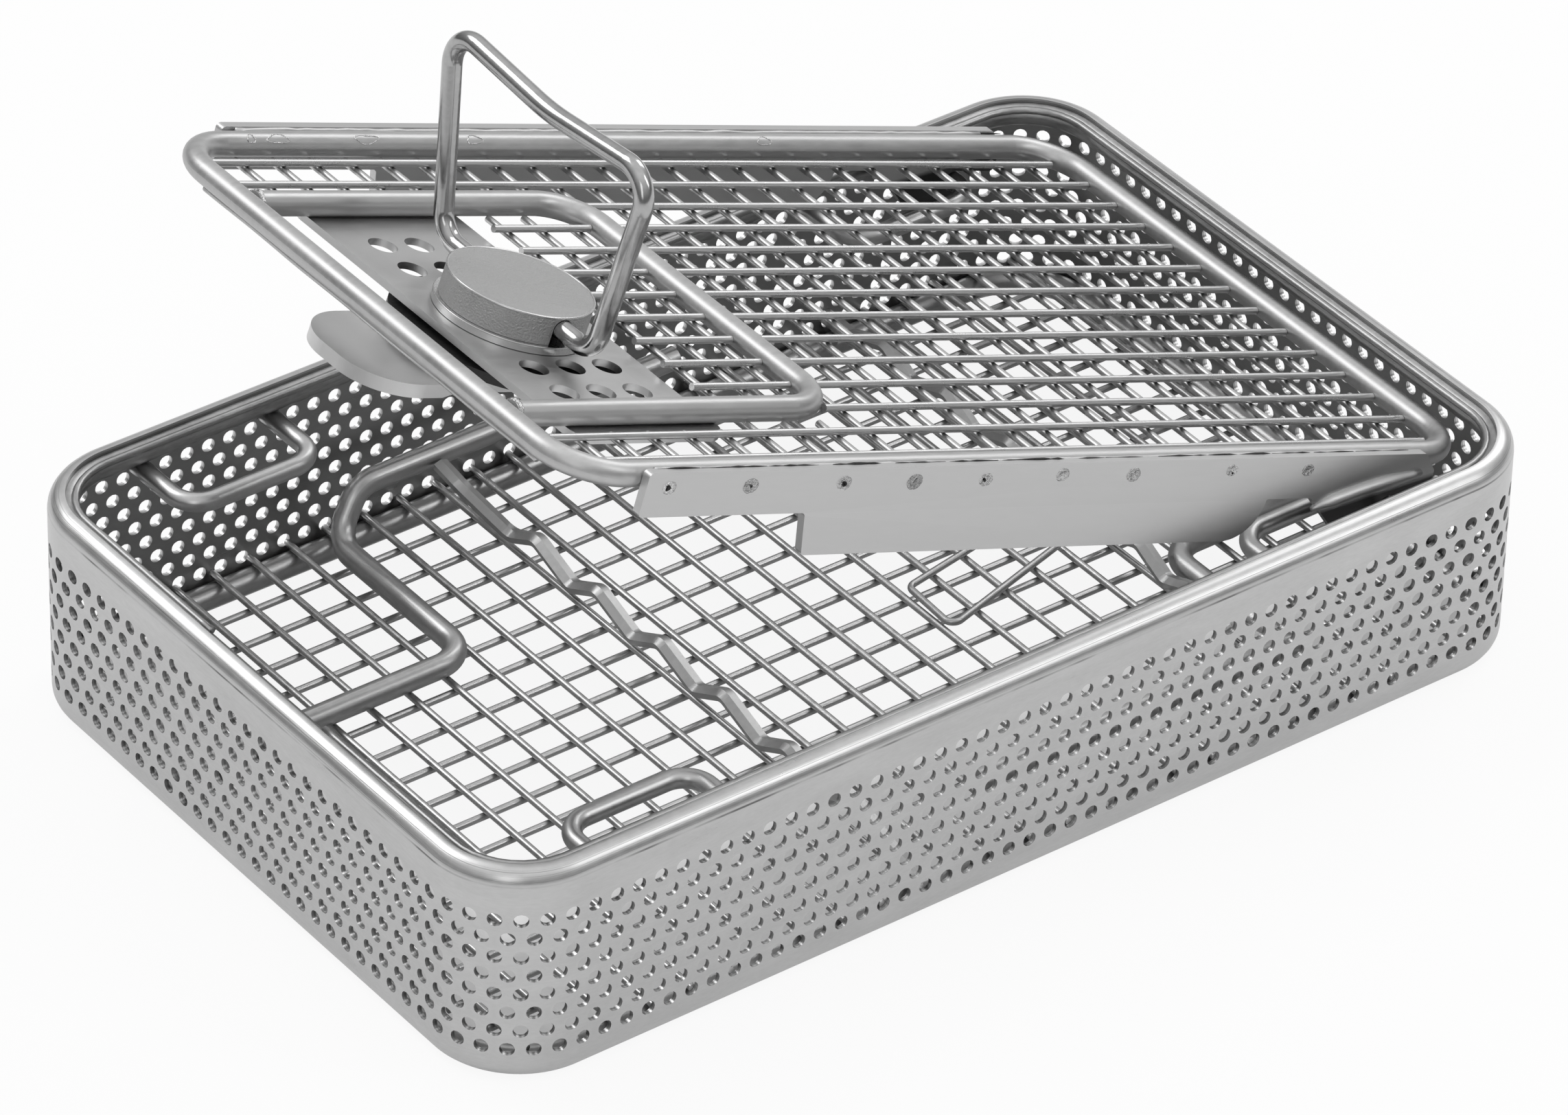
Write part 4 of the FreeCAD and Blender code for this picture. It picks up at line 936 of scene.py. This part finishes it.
def makeWorld():
    world = bpy.data.worlds.new("studio")
    world.use_nodes = True
    scene.world = world
    tree = world.node_tree
    direction = tree.nodes.new("ShaderNodeTexCoord").outputs["Generated"]
    ramp = tree.nodes.new("ShaderNodeValToRGB")
    stops = ramp.color_ramp.elements
    stops[0].position, stops[0].color = 0.0, grey(surround["horizon"])
    stops[1].position, stops[1].color = surround["zenith"][0], grey(surround["zenith"][1])
    for position, level in surround["between"]:
        stops.new(position).color = grey(level)
    tree.links.new(splitPlace(tree, direction)["Z"], ramp.inputs["Fac"])
    toward = tree.nodes.new("ShaderNodeVectorMath")
    toward.operation = "DOT_PRODUCT"
    tree.links.new(direction, toward.inputs[0])
    toward.inputs[1].default_value = surround["glowToward"]
    glow = spread(tree, toward.outputs["Value"], surround["glowFrom"], 1.0, 0, surround["glow"])
    background = tree.nodes["Background"]
    tree.links.new(add(tree, ramp.outputs["Color"], glow), background.inputs["Color"])
    seen = tree.nodes.new("ShaderNodeBackground")
    seen.inputs["Color"].default_value = grey(1)
    path = tree.nodes.new("ShaderNodeLightPath")
    mix = tree.nodes.new("ShaderNodeMixShader")
    tree.links.new(path.outputs["Is Camera Ray"], mix.inputs["Fac"])
    tree.links.new(background.outputs["Background"], mix.inputs[1])
    tree.links.new(seen.outputs["Background"], mix.inputs[2])
    tree.links.new(mix.outputs["Shader"], tree.nodes["World Output"].inputs["Surface"])


# Softboxes, in metres and watts
softboxes = {
    "key_softbox": {"place": (-0.5, 1.2, 1.5), "aim": (0, 0, 0.03), "size": (0.9, 0.9),
                    "power": 8.0},
    "rim_softbox": {"place": (1.3, 0.4, 1.1), "aim": (0, 0, 0.03), "size": (0.5, 1.0),
                    "power": 4.0},
    "front_softbox": {"place": (0.9, -1.0, 1.15), "aim": (0, 0, 0.04), "size": (0.35, 0.9),
                      "power": 3.0},
    "side_softbox": {"place": (-1.2, -1.0, 0.9), "aim": (0, 0, 0.05), "size": (0.5, 1.0),
                     "power": 2.0},
}


def makeSoftbox(name, box):
    light = bpy.data.lights.new(name, "AREA")
    light.shape = "RECTANGLE"
    light.size, light.size_y = box["size"]
    light.energy = box["power"]
    lamp = bpy.data.objects.new(name, light)
    scene.collection.objects.link(lamp)
    lamp.location = box["place"]
    aim = Vector(box["aim"]) - Vector(box["place"])
    lamp.rotation_euler = aim.to_track_quat("-Z", "Y").to_euler()


# Camera solved from the photograph: angles in degrees, place and lens in millimetres
camera = {
    "azimuth": -37.4898224, "elevation": 35.8777147, "roll": 1.548789,
    "place": (-945.4, -1232.7, 1148.8), "lens": 223.97, "sensor": 36, "farEnd": 20,
}


def makeCamera():
    view = bpy.data.cameras.new("camera")
    view.sensor_width = camera["sensor"]
    view.lens = camera["lens"]
    view.clip_end = camera["farEnd"]
    eye = bpy.data.objects.new("camera", view)
    scene.collection.objects.link(eye)
    a, e, r = (math.radians(camera[key]) for key in ("azimuth", "elevation", "roll"))
    back = Vector((math.sin(a) * math.cos(e), -math.cos(a) * math.cos(e), math.sin(e)))
    right = Vector((math.cos(a), math.sin(a), 0))
    up = back.cross(right)
    tiltedRight = right * math.cos(r) + up * math.sin(r)
    tiltedUp = up * math.cos(r) - right * math.sin(r)
    turn = Matrix((tiltedRight, tiltedUp, back)).transposed().to_4x4()
    eye.matrix_world = Matrix.Translation(Vector(camera["place"]) * mm) @ turn
    scene.camera = eye


makeFloor()
makeWorld()
for name, box in softboxes.items():
    makeSoftbox(name, box)
makeCamera()
scene.view_settings.view_transform = "Standard"
print("stage set")
